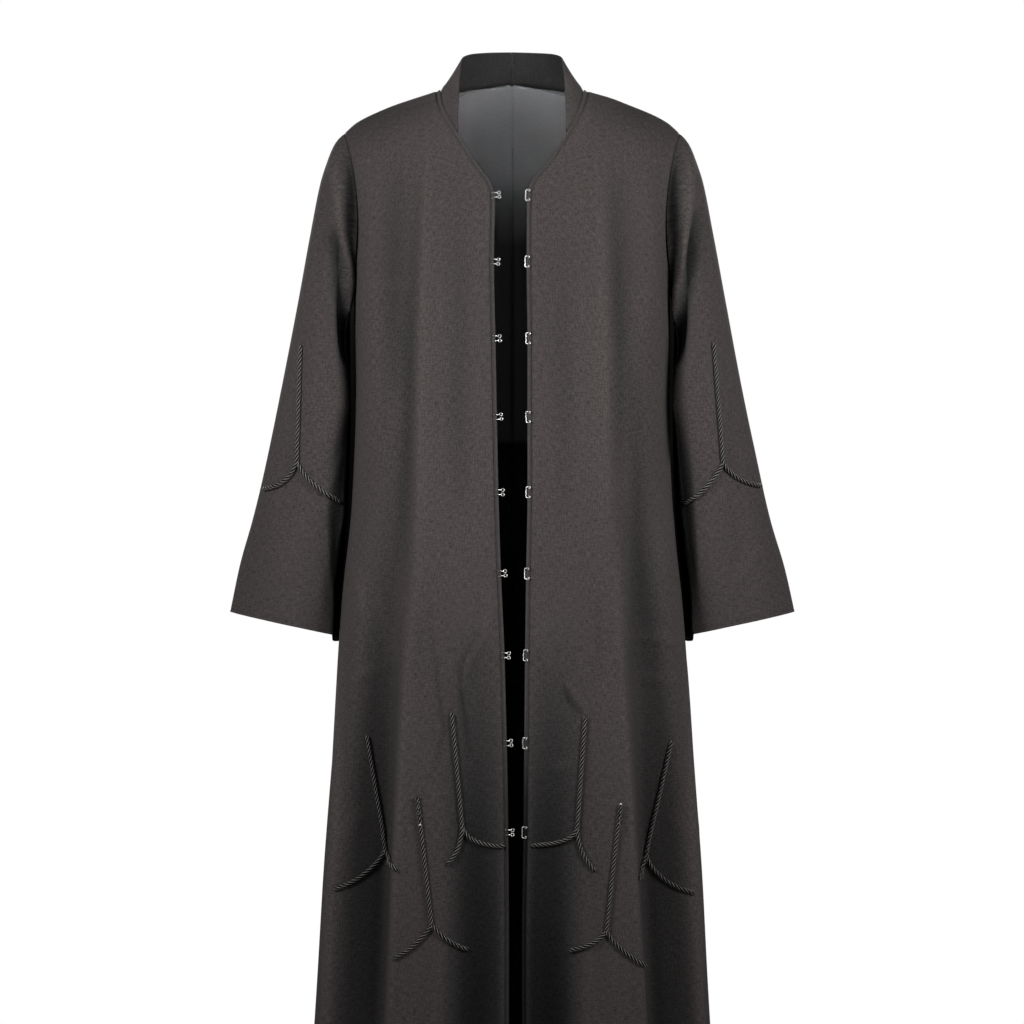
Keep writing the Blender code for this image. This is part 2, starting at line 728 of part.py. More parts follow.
def laid(places, tree, radius):
    """A line on a piece's outer face, seen from the front, then moved out until it clears the faces."""
    points, lifts = [], []
    for x, z in places:
        hit, normal = tree.ray_cast(Vector((x, -FAR, z)) * MM, Vector((0, 1, 0)))[:2]
        points.append(np.array(hit) / MM)
        lifts.append(np.array(normal))
    clear = radius + SEAM_GAP
    points = [p + n * clear for p, n in zip(points, lifts)]
    for _ in range(PUSHES):
        for i in range(len(points) - 1):
            for share in np.linspace(0, 1, 5):
                spot = points[i] * (1 - share) + points[i + 1] * share
                near, _, _, apart = tree.find_nearest(Vector(spot * MM))
                short = clear - apart / MM
                if short > SPECK:
                    push = unit(spot - np.array(near) / MM) * short
                    points[i] = points[i] + push * (1 - share)
                    points[i + 1] = points[i + 1] + push * share
    return points


def cord_pieces(motif, tree):
    """A motif's two cords: the stem that runs on into its main branch, and the other branch."""
    top, fork = np.array(motif.top, float), np.array(motif.fork, float)
    count = round(np.linalg.norm(fork - top) / CORD_STEP)
    stem = [top + (fork - top) * i / count for i in range(count)]
    main = stem + bend(fork, motif.main_turn, motif.main_end, CORD_STEP)
    branch = bend(fork, motif.branch_turn, motif.branch_end, CORD_STEP)
    main_line = laid(main, tree, CORD_RADIUS)
    branch_line = laid(branch, tree, CORD_RADIUS)
    apart = 2 * CORD_RADIUS + SEAM_GAP
    while min(np.linalg.norm(branch_line[0] - p) for p in dense(main_line)) < apart:
        step = branch_line[1] - branch_line[0]
        branch_line[0] = branch_line[0] + unit(step) * CORD_NUDGE
        if np.linalg.norm(step) < CORD_SHORTEST:
            branch_line.pop(0)
    tube(f"cord_{motif.name}_main", main_line, CORD_RADIUS, CORD_SIDES, "cord")
    tube(f"cord_{motif.name}_branch", branch_line, CORD_RADIUS, CORD_SIDES, "cord")


def dense(line):
    """A line's points with others between them."""
    return [a * (1 - s) + b * s for a, b in zip(line, line[1:]) for s in np.linspace(0, 1, BETWEEN)]


def edge_frame(side, height):
    """A place on the band's outer face, and its directions into the gap and up."""
    down = (height - SHOULDER) / (UNDERARM - SHOULDER)
    if height < UNDERARM:
        down = 1 + (height - UNDERARM) / (HEM - UNDERARM)
    up = unit(front(side, 0, down - PROBE) - front(side, 0, down + PROBE))
    out = body_lift(front, side, 0, down)
    into = unit(np.cross(up, out))
    into = into if into[0] * SIDES[side] < 0 else -into
    out = unit(np.cross(into, up))
    out = out if out[1] < 0 else -out
    return front(side, 0, down) + out * (BAND_PROUD + SEAM_GAP + WIRE), into, up


def hook_wire():
    """A hook's wire as (into the gap, up): a sewing ring, a leg, the turn, the other leg and ring."""
    leg = RING_SPREAD - RING
    turns = [math.radians(270 + RING_TURN * (1 - i / RING_POINTS)) for i in range(RING_POINTS + 1)]
    ring = [(HOOK_REACH + RING * math.cos(t), RING_SPREAD + RING * math.sin(t)) for t in turns]
    left = HOOK_REACH - HOOK_LEG
    bow = [math.radians(t) for t in HOOK_TURN]
    half = ring + [(left + leg * math.cos(t), leg * math.sin(t)) for t in bow]
    return half + [(x, -z) for x, z in reversed(half)]


def eye_wire():
    """An eye's wire: a bar that stands into the gap, and its two ends on the band."""
    tall = EYE_HALF_HEIGHT
    half = [(-EYE_DEPTH, tall), (EYE_REACH - EYE_CORNER, tall), (EYE_REACH, tall - EYE_CORNER)]
    return half + [(x, -z) for x, z in reversed(half)]


def fastenings():
    for number, height in enumerate(FASTENINGS, 1):
        for name, side, wire in (("hook", "right", hook_wire()), ("eye", "left", eye_wire())):
            place, into, up = edge_frame(side, height)
            tube(f"{name}_{number}", [place + into * a + up * b for a, b in wire], WIRE, WIRE_SIDES, "wire")


def main():
    for thing in list(bpy.data.objects):
        bpy.data.objects.remove(thing)
    bpy.context.scene.collection.children.link(bpy.data.collections.new(GARMENT))
    pieces = {}
    for side in SIDES:
        for make in (front_piece, back_piece, lining_piece, band_piece, sleeve_piece, collar_piece):
            pieces.update({piece.name: piece for piece in make(side)})
    for motif in MOTIFS:
        cord_pieces(motif, surface_of(pieces[motif.panel]))
    fastenings()


main()
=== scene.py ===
# %% [markdown]
# # An open-fronted abaya, dressed
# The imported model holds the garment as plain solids: two fronts, two backs, bell sleeves, a stand collar, a back
# lining, piping, cords, and hooks and eyes. This lesson lays the fine form and the finish over them: soft cloth with
# its creases, twisted rope, bent wire, beads and thread. Everything is worked out from sizes and short tables, so
# each step can be changed and run again.

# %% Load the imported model
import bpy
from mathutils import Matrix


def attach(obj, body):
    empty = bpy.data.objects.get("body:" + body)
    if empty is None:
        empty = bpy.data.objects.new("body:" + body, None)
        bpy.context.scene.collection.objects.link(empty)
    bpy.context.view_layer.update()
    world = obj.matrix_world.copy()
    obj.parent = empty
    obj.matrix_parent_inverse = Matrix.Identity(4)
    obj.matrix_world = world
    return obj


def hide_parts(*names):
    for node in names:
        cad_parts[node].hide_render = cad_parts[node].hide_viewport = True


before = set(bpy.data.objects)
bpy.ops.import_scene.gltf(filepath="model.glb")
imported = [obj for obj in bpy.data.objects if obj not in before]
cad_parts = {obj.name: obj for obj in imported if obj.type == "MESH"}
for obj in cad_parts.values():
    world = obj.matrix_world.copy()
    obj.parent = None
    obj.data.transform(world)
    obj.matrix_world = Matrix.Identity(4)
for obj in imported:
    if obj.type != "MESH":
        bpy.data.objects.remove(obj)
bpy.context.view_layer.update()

# %% [markdown]
# Sizes are written in millimetres, as a maker measures, and become metres when a mesh is made. Right and left are the
# wearer's, so the right side has negative X. The front faces -Y.

# %% Modules and units
import math
from collections import namedtuple

import bpy
import numpy as np
from mathutils import Vector, noise
from mathutils.bvhtree import BVHTree

MM = 0.001
SIDES = {"right": -1, "left": 1}
BODY_NAME = "root"
print("Blender", bpy.app.version_string, "and numpy", np.__version__)

# %% [markdown]
# ## The garment's form
# The solids follow a few rules: the body is a rounded oval that grows towards the hem, the shoulders fall away from
# the neck, and each sleeve is a tube hung between two lines. The same rules are written here again, for whole arrays
# of points at once. A surface that is a rule and not a list of points can be asked for at any fineness, and that is
# why it was chosen over dividing the solids' faces.

# %% Heights, the body's oval and the shoulder seam
SHOULDER = 2
UNDERARM = -235
HEM = -1420
LINING_END = -420
SHOULDER_ROUND = 200
SQUARENESS = 2.5
POWER = 2 / SQUARENESS

Seam = namedtuple("Seam", "out height")
SHOULDER_SEAM = (Seam(86, SHOULDER), Seam(120, -9), Seam(160, -24), Seam(186, -37), Seam(201, -50))

Section = namedtuple("Section", "height half_width front back")
BODY = (
    Section(UNDERARM, 190, 125, 105), Section(-370, 188, 127, 102), Section(-490, 192, 132, 108),
    Section(-610, 204, 142, 122), Section(-730, 213, 152, 138), Section(-910, 224, 166, 163),
    Section(-1118, 237, 182, 190), Section(HEM, 256, 200, 220),
)

Edge = namedtuple("Edge", "height right left")
EDGES = (
    Edge(SHOULDER, 86, 86), Edge(-14, 84, 83), Edge(-31, 78, 77), Edge(-53, 66, 66), Edge(-92, 43, 42),
    Edge(-119, 24, 21), Edge(-134, 20, 17.5), Edge(-211, 21, 17), Edge(-301, 19.3, 18), Edge(-481, 15.8, 18),
    Edge(-576, 12.8, 16.4), Edge(-671, 8.7, 15.1), Edge(-876, 4.3, 13.3), Edge(-1000, 3.5, 11.5), Edge(HEM, 4, 12),
)
print("from the shoulder at the neck to the hem:", SHOULDER - HEM, "mm")

# %% [markdown]
# The skirt hangs in long folds. An angle is 0 at the front's middle, 90 at the side seam and 180 at the back's middle.
# A fold grows from its top over its run, spreads before and after its angle, and its top drifts towards the front. A
# negative depth goes into the garment.

# %% The skirt's folds
Fold = namedtuple("Fold", "side angle top run depth before after drift")
FOLDS = (
    Fold("right", 8, -640, 500, -9, 8, 11, 0), Fold("right", 33, -260, 500, 5, 12, 9, 3),
    Fold("right", 47, -300, 700, -42, 15, 19, 7), Fold("right", 73, -560, 400, 7, 11, 12, 0),
    Fold("left", 8, -640, 500, -9, 9, 11, 0), Fold("left", 34, -230, 500, 6, 11, 9, 3),
    Fold("left", 51, -290, 700, -39, 16, 18, 9), Fold("left", 76, -560, 400, 6, 10, 11, 0),
    Fold("right", 100, -600, 500, -24, 11, 12, 0), Fold("right", 128, -430, 650, -34, 15, 14, -4),
    Fold("right", 158, -380, 700, -30, 13, 15, -3), Fold("left", 103, -600, 500, -22, 12, 11, 0),
    Fold("left", 131, -400, 650, -31, 14, 15, -4), Fold("left", 160, -420, 700, -33, 14, 13, -3),
)
print(len(FOLDS), "folds, the deepest", -min(fold.depth for fold in FOLDS), "mm")

# %% The neck, the armhole, the sleeve and the collar
NECK_HALF_WIDTH, NECK_BACK, NECK_RISE, NECK_SHARE = 86, 70, 14, 0.3
TIP = np.array((201.0, 0.0, -50.0))
UNDER = np.array((190.0, 0.0, float(UNDERARM)))
ARMHOLE_DEPTH, ARMHOLE_BOW, BOW_SHARE = 62, 12, 0.3

Outline = namedtuple("Outline", "height out")
SLEEVE_OUTER = (
    Outline(-50, 201), Outline(-58, 209.5), Outline(-66, 214.5), Outline(-79, 220), Outline(-110, 230),
    Outline(-168, 241), Outline(-254, 256), Outline(-341, 272), Outline(-427, 290), Outline(-514, 310),
    Outline(-571, 326), Outline(-624, 338),
)
CUFF_OUTER, CUFF_INNER, CUFF_BACK = -624, (192, -660), 34
INNER_TUCK, TUCK_SHARE, BODY_CLEARANCE, CLEAR_SHARE = 20, 0.3, 6, 0.08

Depth = namedtuple("Depth", "share depth")
SLEEVE_DEPTHS = (Depth(0, ARMHOLE_DEPTH), Depth(0.4, 68), Depth(1, 64))

Roll = namedtuple("Roll", "angle lean start end depth width")
SLEEVE_ROLLS = (
    Roll(78, 20, 0.02, 0.42, 5, 22), Roll(118, 8, 0.05, 0.75, -7, 24), Roll(40, 6, 0.02, 0.30, -3, 18),
    Roll(262, -16, 0.05, 0.55, 5, 24), Roll(225, -5, 0.10, 0.80, -7, 26),
)

Stand = namedtuple("Stand", "share across back up")
COLLAR_TOP = (
    Stand(0, 0, 56, 54), Stand(0.18, 27, 52, 53), Stand(0.34, 49, 38, 50), Stand(0.46, 60, 17, 43),
    Stand(0.6, 62, -12, 24), Stand(0.78, 63.2, -50, -10), Stand(1, 64.3, -84, -50),
)
COLLAR_SHOULDER_SHARE, COLLAR_END = 0.55, 0.24
print("armhole from top to bottom:", round(float(np.linalg.norm(TIP - UNDER))), "mm")

# %% [markdown]
# A table's rows become a smooth curve that never swings past them. The slope at each row is the harmonic mean of the
# slopes on its two sides, which keeps a straight run straight and rounds a corner softly.

# %% A smooth curve through a table
def curve(rows, key, column):
    place = np.array([getattr(row, key) for row in rows], float)
    value = np.array([getattr(row, column) for row in rows], float)
    if place[0] > place[-1]:
        place, value = place[::-1], value[::-1]
    step = np.diff(place)
    slope = np.diff(value) / step
    tangent = np.concatenate(([slope[0]], np.zeros(len(slope) - 1), [slope[-1]]))
    for i in range(1, len(slope)):
        if slope[i - 1] * slope[i] > 0:
            tangent[i] = 2 * slope[i - 1] * slope[i] / (slope[i - 1] + slope[i])

    def at(where):
        where = np.clip(where, place[0], place[-1])
        i = np.clip(np.searchsorted(place, where, side="right") - 1, 0, len(step) - 1)
        t = (where - place[i]) / step[i]
        bend = t * t * (3 - 2 * t)
        swing = t * (1 - t) ** 2 * step[i] * tangent[i] + t * t * (t - 1) * step[i] * tangent[i + 1]
        return value[i] * (1 - bend) + value[i + 1] * bend + swing

    return at


half_width, front_depth, back_depth = (curve(BODY, "height", c) for c in ("half_width", "front", "back"))
seam_height = curve(SHOULDER_SEAM, "out", "height")
edge_out = {side: curve(EDGES, "height", side) for side in SIDES}
sleeve_out = curve(SLEEVE_OUTER, "height", "out")
sleeve_depth = curve(SLEEVE_DEPTHS, "share", "depth")
collar_across, collar_back, collar_up = (curve(COLLAR_TOP, "share", c) for c in ("across", "back", "up"))
print("half width at the hip:", round(float(half_width(-730)), 1), "mm")

# %% Small helpers on arrays
def eased(share):
    """0 to 1 with level ends."""
    share = np.clip(share, 0, 1)
    return share * share * (3 - 2 * share)


def hump(away, reach):
    """1 in the middle and 0 beyond its reach, with a soft foot."""
    return np.where(np.abs(away) < reach, 0.5 + 0.5 * np.cos(np.pi * away / reach), 0)


def rounding(fall):
    """How far out a quarter circle stands, as a share of its radius, this far down from its top."""
    return np.sqrt(1 - (1 - np.clip(fall, 0, 1)) ** 2)


def place(*parts):
    """Points from their three coordinates."""
    return np.stack(np.broadcast_arrays(*parts), -1).astype(float)


def length_of(vectors):
    return np.linalg.norm(vectors, axis=-1, keepdims=True)


def unit(vectors):
    return vectors / np.maximum(length_of(vectors), 1e-9)


print("a quarter circle, a tenth of the way down, stands out by", round(float(rounding(0.1)), 3))

# %% The body below the underarm
def fold_depth(side, angle, height):
    depth = 0
    for fold in (f for f in FOLDS if f.side == side):
        grown = eased((fold.top - height) / fold.run)
        away = angle - fold.angle + fold.drift * (1 - grown)
        depth = depth + fold.depth * grown * hump(away, np.where(away < 0, fold.before, fold.after))
    return depth


def trunk(side, angle, height):
    sine, cosine = np.sin(np.radians(angle)), np.cos(np.radians(angle))
    wide = half_width(height)
    deep = np.where(cosine > 0, front_depth(height), back_depth(height))
    x = wide * np.abs(sine) ** POWER
    y = -np.sign(cosine) * deep * np.abs(cosine) ** POWER
    out_x = (x / wide) ** (SQUARENESS - 1) / wide
    out_y = np.sign(y) * (np.abs(y) / deep) ** (SQUARENESS - 1) / deep
    lift = fold_depth(side, angle, height) / np.hypot(out_x, out_y)
    return place(SIDES[side] * (x + out_x * lift), y + out_y * lift, height)


def edge_angle(side, height):
    return np.degrees(np.arcsin((edge_out[side](height) / half_width(height)) ** (1 / POWER)))


def front_edge(side, height):
    """The front's edge, down the neck and then down the opening."""
    out = edge_out[side](height)
    oval = (1 - (out / half_width(UNDERARM)) ** SQUARENESS) ** (1 / SQUARENESS)
    deep = front_depth(UNDERARM) * rounding((SHOULDER - height) / SHOULDER_ROUND) * oval
    above = place(SIDES[side] * out, -deep, height)
    return np.where((height < UNDERARM)[..., None], trunk(side, edge_angle(side, height), height), above)


print("side seam at the hem, in mm:", trunk("right", np.array(90), np.array(HEM)).round(1))

# %% [markdown]
# Above the underarm each row of a panel is a stretch of the same oval, squeezed at the top to a line along the
# shoulder seam. It runs from the neck's edge to the armhole, and its heights and its rounding pass smoothly from those
# of one end to those of the other.

# %% The yoke: shoulders, chest and upper back
def armhole(side, angle):
    turn = np.radians(angle)[..., None]
    ring = (TIP + UNDER) / 2 + np.cos(turn) * (TIP - UNDER) / 2
    ring = ring + np.concatenate((-ARMHOLE_BOW * np.sin(turn) ** 2, -ARMHOLE_DEPTH * np.sin(turn), 0 * turn), -1)
    return ring * (SIDES[side], 1, 1)


def yoke(side, inner, across, down, facing, level):
    down = np.clip(down, 0.0001, 1)
    outer = armhole(side, facing * 180 * down)
    deep = front_depth(UNDERARM) if facing > 0 else back_depth(UNDERARM)
    outer_fall = (TIP[2] - outer[..., 2]) / SHOULDER_ROUND
    out_x, out_y = np.abs(outer[..., 0]), np.abs(outer[..., 1])
    in_x, in_y = np.abs(inner[..., 0]), np.abs(inner[..., 1])
    arm = np.arccos(np.minimum((out_y / (deep * rounding(outer_fall))) ** (1 / POWER), 1))
    wide = out_x / np.sin(arm) ** POWER
    start = np.arcsin((in_x / wide) ** (1 / POWER))
    inner_fall = 1 - np.sqrt(np.maximum(0, 1 - (in_y / (deep * np.cos(start) ** POWER)) ** 2))
    angle = start + (arm - start) * across
    mixed = across * (1 - level) + across * across * level
    depth = deep * rounding(inner_fall * (1 - mixed) + outer_fall * mixed) * np.cos(angle) ** POWER
    x = wide * np.sin(angle) ** POWER
    seam_x = NECK_HALF_WIDTH + (TIP[0] - NECK_HALF_WIDTH) * (x - in_x) / (out_x - in_x)
    straight = SHOULDER + (TIP[2] - SHOULDER) * mixed
    height = inner[..., 2] * (1 - mixed) + outer[..., 2] * mixed + (seam_height(seam_x) - straight) * (1 - eased(down))
    return place(SIDES[side] * x, -facing * depth, height)


def back_neck(side, share):
    turn = np.pi / 2 * share
    return place(SIDES[side] * NECK_HALF_WIDTH * np.cos(turn), NECK_BACK * np.sin(turn),
                 SHOULDER + NECK_RISE * np.sin(turn) ** 2)


def back_middle(side, down):
    """The back neck, and then the centre back seam."""
    share = np.clip((down - NECK_SHARE) / (1 - NECK_SHARE), 0, 1)
    top, deep = SHOULDER + NECK_RISE, back_depth(UNDERARM)
    seam = place(0 * down, deep - (deep - NECK_BACK) * (1 - share) ** 2, top + (UNDERARM - top) * share)
    return np.where((down < NECK_SHARE)[..., None], back_neck(side, np.clip(down / NECK_SHARE, 0, 1)), seam)


print("foremost point of the armhole, in mm:", armhole("right", np.array(90)).round(1))

# %% The panels, asked for by how far across and how far down
def skirt_height(down):
    return UNDERARM + (HEM - UNDERARM) * (np.maximum(down, 1) - 1)


def front(side, across, down):
    height = skirt_height(down)
    start = edge_angle(side, height)
    low = trunk(side, start + (90 - start) * across, height)
    inner = front_edge(side, SHOULDER + (UNDERARM - SHOULDER) * np.minimum(down, 1))
    return np.where((down >= 1)[..., None], low, yoke(side, inner, across, down, 1, 0))


def back(side, across, down):
    low = trunk(side, 180 - 90 * across, skirt_height(down))
    high = yoke(side, back_middle(side, np.minimum(down, 1)), across, down, -1, eased(down / NECK_SHARE))
    return np.where((down >= 1)[..., None], low, high)


def sleeve_inner(share):
    out, up = CUFF_INNER
    tucked = UNDER[0] + (out - UNDER[0]) * share - INNER_TUCK * eased(share / TUCK_SHARE)
    return place(tucked, CUFF_BACK * share, UNDER[2] + (up - UNDER[2]) * share)


def sleeve_outer(share):
    up = TIP[2] + (CUFF_OUTER - TIP[2]) * share
    return place(sleeve_out(up), CUFF_BACK * share, up)


def sleeve(side, around, share):
    turn = np.radians(around)
    outer, inner = sleeve_outer(share), sleeve_inner(share)
    bow = ARMHOLE_BOW * np.maximum(0, 1 - share / BOW_SHARE) ** 2 * np.sin(turn) ** 2
    spoke = np.cos(turn)[..., None] * (outer - inner) / 2 + place(-bow, -sleeve_depth(share) * np.sin(turn), 0 * turn)
    depth = 0
    for roll in SLEEVE_ROLLS:
        along = np.clip((share - roll.start) / (roll.end - roll.start), 0, 1)
        away = (around - roll.angle - roll.lean * along + 180) % 360 - 180
        depth = depth + roll.depth * np.sin(np.pi * along) * hump(away, roll.width)
    point = (outer + inner) / 2 + spoke + unit(spoke) * depth[..., None]
    x, y, z = np.moveaxis(point, -1, 0)
    wide = half_width(z) + BODY_CLEARANCE
    deep = np.where(y < 0, front_depth(z), back_depth(z)) + BODY_CLEARANCE
    needed = wide * np.clip(1 - (np.abs(y) / deep) ** SQUARENESS, 0, 1) ** (1 / SQUARENESS)
    return place(SIDES[side] * (x + np.maximum(0, needed - x) * eased(share / CLEAR_SHARE)), y, z)


middle = front("right", np.array(0.5), np.array(1.5))
print("middle of the right front, in mm:", middle.round(1))

# %% [markdown]
# ## From points to cloth
# A piece of cloth is a grid of points: rows down and columns across. Its edges need fine columns, because at a seam
# the cloth turns in and makes a narrow groove. A bump map could paint a groove, but a real one catches light from
# every side, so the points themselves roll in.

# %% Distances, directions and rolled edges
# DARKEST is the deepest painted shade a point may carry.
SEAM_ROLL, SEAM_REACH, DARKEST = 1.3, 3.2, -2.6


def spread(points, axis):
    """How far each point lies along its line, row or column, in mm."""
    steps = length_of(np.diff(points, axis=axis))[..., 0]
    return np.concatenate((np.zeros_like(steps.take([0], axis)), np.cumsum(steps, axis)), axis)


def looped(grid, closed=True):
    """A closed grid gets its first column once more beside its last."""
    return np.concatenate((grid, grid[:, :1]), 1) if closed else grid


def normals_of(points, centre, closed=False):
    """Unit directions out of a grid, away from its centre. A closed grid's columns run round."""
    wide = np.concatenate((points[:, -1:], points, points[:, :1]), 1) if closed else points
    along = np.gradient(wide, axis=1)
    along = along[:, 1:-1] if closed else along
    out = unit(np.cross(along, np.gradient(points, axis=0)))
    return out * np.sign(np.sum(out * (points - centre), -1).mean())


def rolled(away):
    """How far the cloth turns in at a seam, from its distance to the seam."""
    return SEAM_ROLL * np.clip(1 - away / SEAM_REACH, 0, 1) ** 2


print("a seam rolls in by", SEAM_ROLL, "mm, and 1 mm beside it still by", round(float(rolled(1)), 2))

# %% [markdown]
# ## Creases
# A worn cloth carries soft creases: long ones down the chest, short curved ones at the hip, and strong ones where the
# arm hangs. Cloth simulation finds its own creases, never the ones that are there. So each crease is listed, with its
# width, how far it stands out, and a line of places, each as far out from the middle and as far down from the
# shoulder. A step makes one side of the line stand higher than the other, as a soft pressed edge does. Its shade says
# how much lighter or darker the cloth looks there than its height alone would make it. The hidden sides get similar
# creases, a few fewer.

# %% The creases of the fronts
# A crease's shade is painted into the cloth's colour: below 0 painted shade, above 0 painted highlight.
Crease = namedtuple("Crease", "width ridge line step shade", defaults=(0, 0))
FRONT_CREASES = {
    "right": (
        Crease(9, 2.2, ((102, 50), (107, 150), (111, 300), (114, 480), (119, 640)), 2.4, 0.1),
        Crease(10, -2, ((114, 100), (121, 240), (125, 400), (130, 600)), 0, -0.3),
        Crease(16, -4.4, ((134, 80), (140, 160), (142, 260), (139, 380)), 0, -0.2),
        Crease(11, 2.6, ((163, 110), (168, 200), (166, 330), (170, 450))),
        Crease(12, -2.6, ((68, 150), (64, 260), (66, 400), (60, 520))),
        Crease(6, 2, ((27, 590), (34, 650), (49, 672), (58, 689), (62, 716)), 0.9),
        Crease(7, -1.8, ((31, 640), (44, 690), (50, 730))),
        Crease(3.6, -1.3, ((38, 640), (54, 669), (61, 688), (60, 712), (54, 756), (51, 790)), 0, -0.5),
        Crease(3.8, -1, ((92, 640), (88, 700), (79, 757), (90, 800), (101, 837)), 0.8, -0.35),
        Crease(6, 1.8, ((192, 711), (170, 694), (141, 684)), 0.7),
        Crease(8, 2, ((158, 600), (146, 640), (137, 690))),
        Crease(7, 1.5, ((186, 560), (176, 610), (170, 640)), -0.7),
        Crease(9, -1.8, ((96, 610), (108, 660), (112, 730))),
        Crease(8, 1.3, ((181, 240), (140, 243), (112, 238)), 0.7),
        Crease(10, 1.8, ((176, 850), (196, 885), (214, 892))),
        Crease(12, 2.2, ((76, 930), (84, 1000), (86, 1080), (90, 1180), (88, 1300)), 0.7),
        Crease(12, -2.6, ((42, 1000), (46, 1110), (44, 1230), (50, 1360))),
        Crease(9, 1.5, ((100, 770), (95, 830), (99, 880))),
        Crease(4, 2.4, ((124, 600), (127, 701), (132, 820), (138, 914), (145, 1103), (154, 1360)), 1.2, 0.3),
        Crease(9, -3.5, ((133, 620), (137, 701), (143, 820), (149, 914), (156, 1103), (166, 1400)), 0, -0.2),
        Crease(5, 3, ((203, 640), (204, 748), (209, 888), (214, 958), (219, 1090), (228, 1350)), 0, 0.9),
        Crease(20, -1.5, ((12, 760), (12, 900), (10, 1087), (12, 1500)), 0, -0.35),
        Crease(26, 0, ((84, 12), (140, 26), (198, 62)), 0, -0.45),
        Crease(30, -6, ((44, 640), (44, 800), (44, 900), (40, 1010), (42, 1130), (44, 1520)), 0, -0.75),
    ),
    "left": (
        Crease(12, 3.1, ((101, 60), (104, 140), (107, 260), (110, 400), (112, 520)), 1.1),
        Crease(14, -4, ((122, 90), (126, 200), (129, 330), (128, 470)), 0, -0.3),
        Crease(24, -1, ((142, 330), (146, 460), (142, 580), (138, 720)), 0, -0.35),
        Crease(12, 2.4, ((138, 300), (141, 430), (139, 560), (134, 700)), -1.8),
        Crease(12, -2.4, ((66, 170), (61, 290), (64, 420), (58, 540))),
        Crease(11, 2.2, ((160, 100), (166, 190), (163, 300))),
        Crease(6, 1.8, ((58, 701), (70, 716), (84, 736)), 0.7),
        Crease(3.6, -1.3, ((60, 700), (66, 722), (84, 746)), 0, -0.6),
        Crease(6, 2, ((131, 650), (164, 652), (200, 660)), 0.7),
        Crease(6, 1.8, ((140, 690), (170, 698), (206, 704)), -0.7),
        Crease(7, 1.5, ((22, 640), (40, 664), (52, 700))),
        Crease(8, -1.8, ((96, 600), (104, 660), (101, 720))),
        Crease(9, 1.5, ((176, 470), (186, 520), (182, 580))),
        Crease(8, 1.3, ((38, 800), (60, 806), (76, 800)), 0.7),
        Crease(12, 2.2, ((84, 940), (92, 1010), (90, 1100), (96, 1200), (94, 1320)), -0.7),
        Crease(12, -2.6, ((46, 980), (50, 1090), (47, 1220), (54, 1350))),
        Crease(9, 1.5, ((184, 860), (206, 880), (222, 884))),
        Crease(4, 2.4, ((128, 620), (133, 724), (140, 840), (147, 960), (156, 1103), (166, 1360)), -1.2, 0.3),
        Crease(9, -3.5, ((138, 640), (143, 724), (151, 840), (158, 960), (167, 1103), (178, 1400)), 0, -0.2),
        Crease(5, 3, ((207, 680), (210, 790), (214, 890), (217, 958), (222, 1090), (232, 1350)), 0, 0.9),
        Crease(20, -1.5, ((14, 760), (14, 900), (12, 1087), (14, 1500)), 0, -0.75),
        Crease(4, 0, ((189, 290), (187, 372), (189, 450)), 0, -3.5),
        Crease(26, 0, ((84, 12), (140, 26), (198, 62)), 0, -0.45),
        Crease(30, -6, ((48, 640), (48, 790), (47, 900), (44, 1010), (44, 1130), (46, 1520)), 0, -0.85),
    ),
}
print(sum(len(c) for c in FRONT_CREASES.values()), "creases on the fronts")

# %% The creases of the backs and the sleeves
BACK_CREASES = {
    "right": (
        Crease(14, 2.4, ((40, 60), (46, 180), (52, 320), (56, 440)), 1),
        Crease(14, -3.2, ((92, 80), (96, 200), (104, 340), (110, 470))),
        Crease(12, 2.4, ((150, 90), (158, 170), (152, 260))),
        Crease(9, 1.8, ((176, 240), (150, 300), (118, 340), (80, 352)), 0.8),
        Crease(8, 1.6, ((24, 430), (60, 452), (98, 448))),
        Crease(7, 1.6, ((70, 640), (96, 668), (132, 676)), 0.6),
        Crease(12, 2, ((60, 900), (66, 1040), (62, 1200), (70, 1340))),
    ),
    "left": (
        Crease(14, 2.4, ((46, 70), (50, 190), (58, 330), (60, 450)), -1),
        Crease(14, -3.2, ((98, 70), (104, 190), (108, 330), (116, 460))),
        Crease(12, 2.4, ((156, 80), (160, 180), (150, 270))),
        Crease(9, 1.8, ((178, 250), (148, 296), (112, 330), (72, 338)), 0.8),
        Crease(8, 1.6, ((30, 446), (64, 460), (104, 450))),
        Crease(7, 1.6, ((76, 660), (100, 686), (140, 690)), -0.6),
        Crease(12, 2, ((66, 920), (70, 1060), (66, 1210), (76, 1340))),
    ),
}
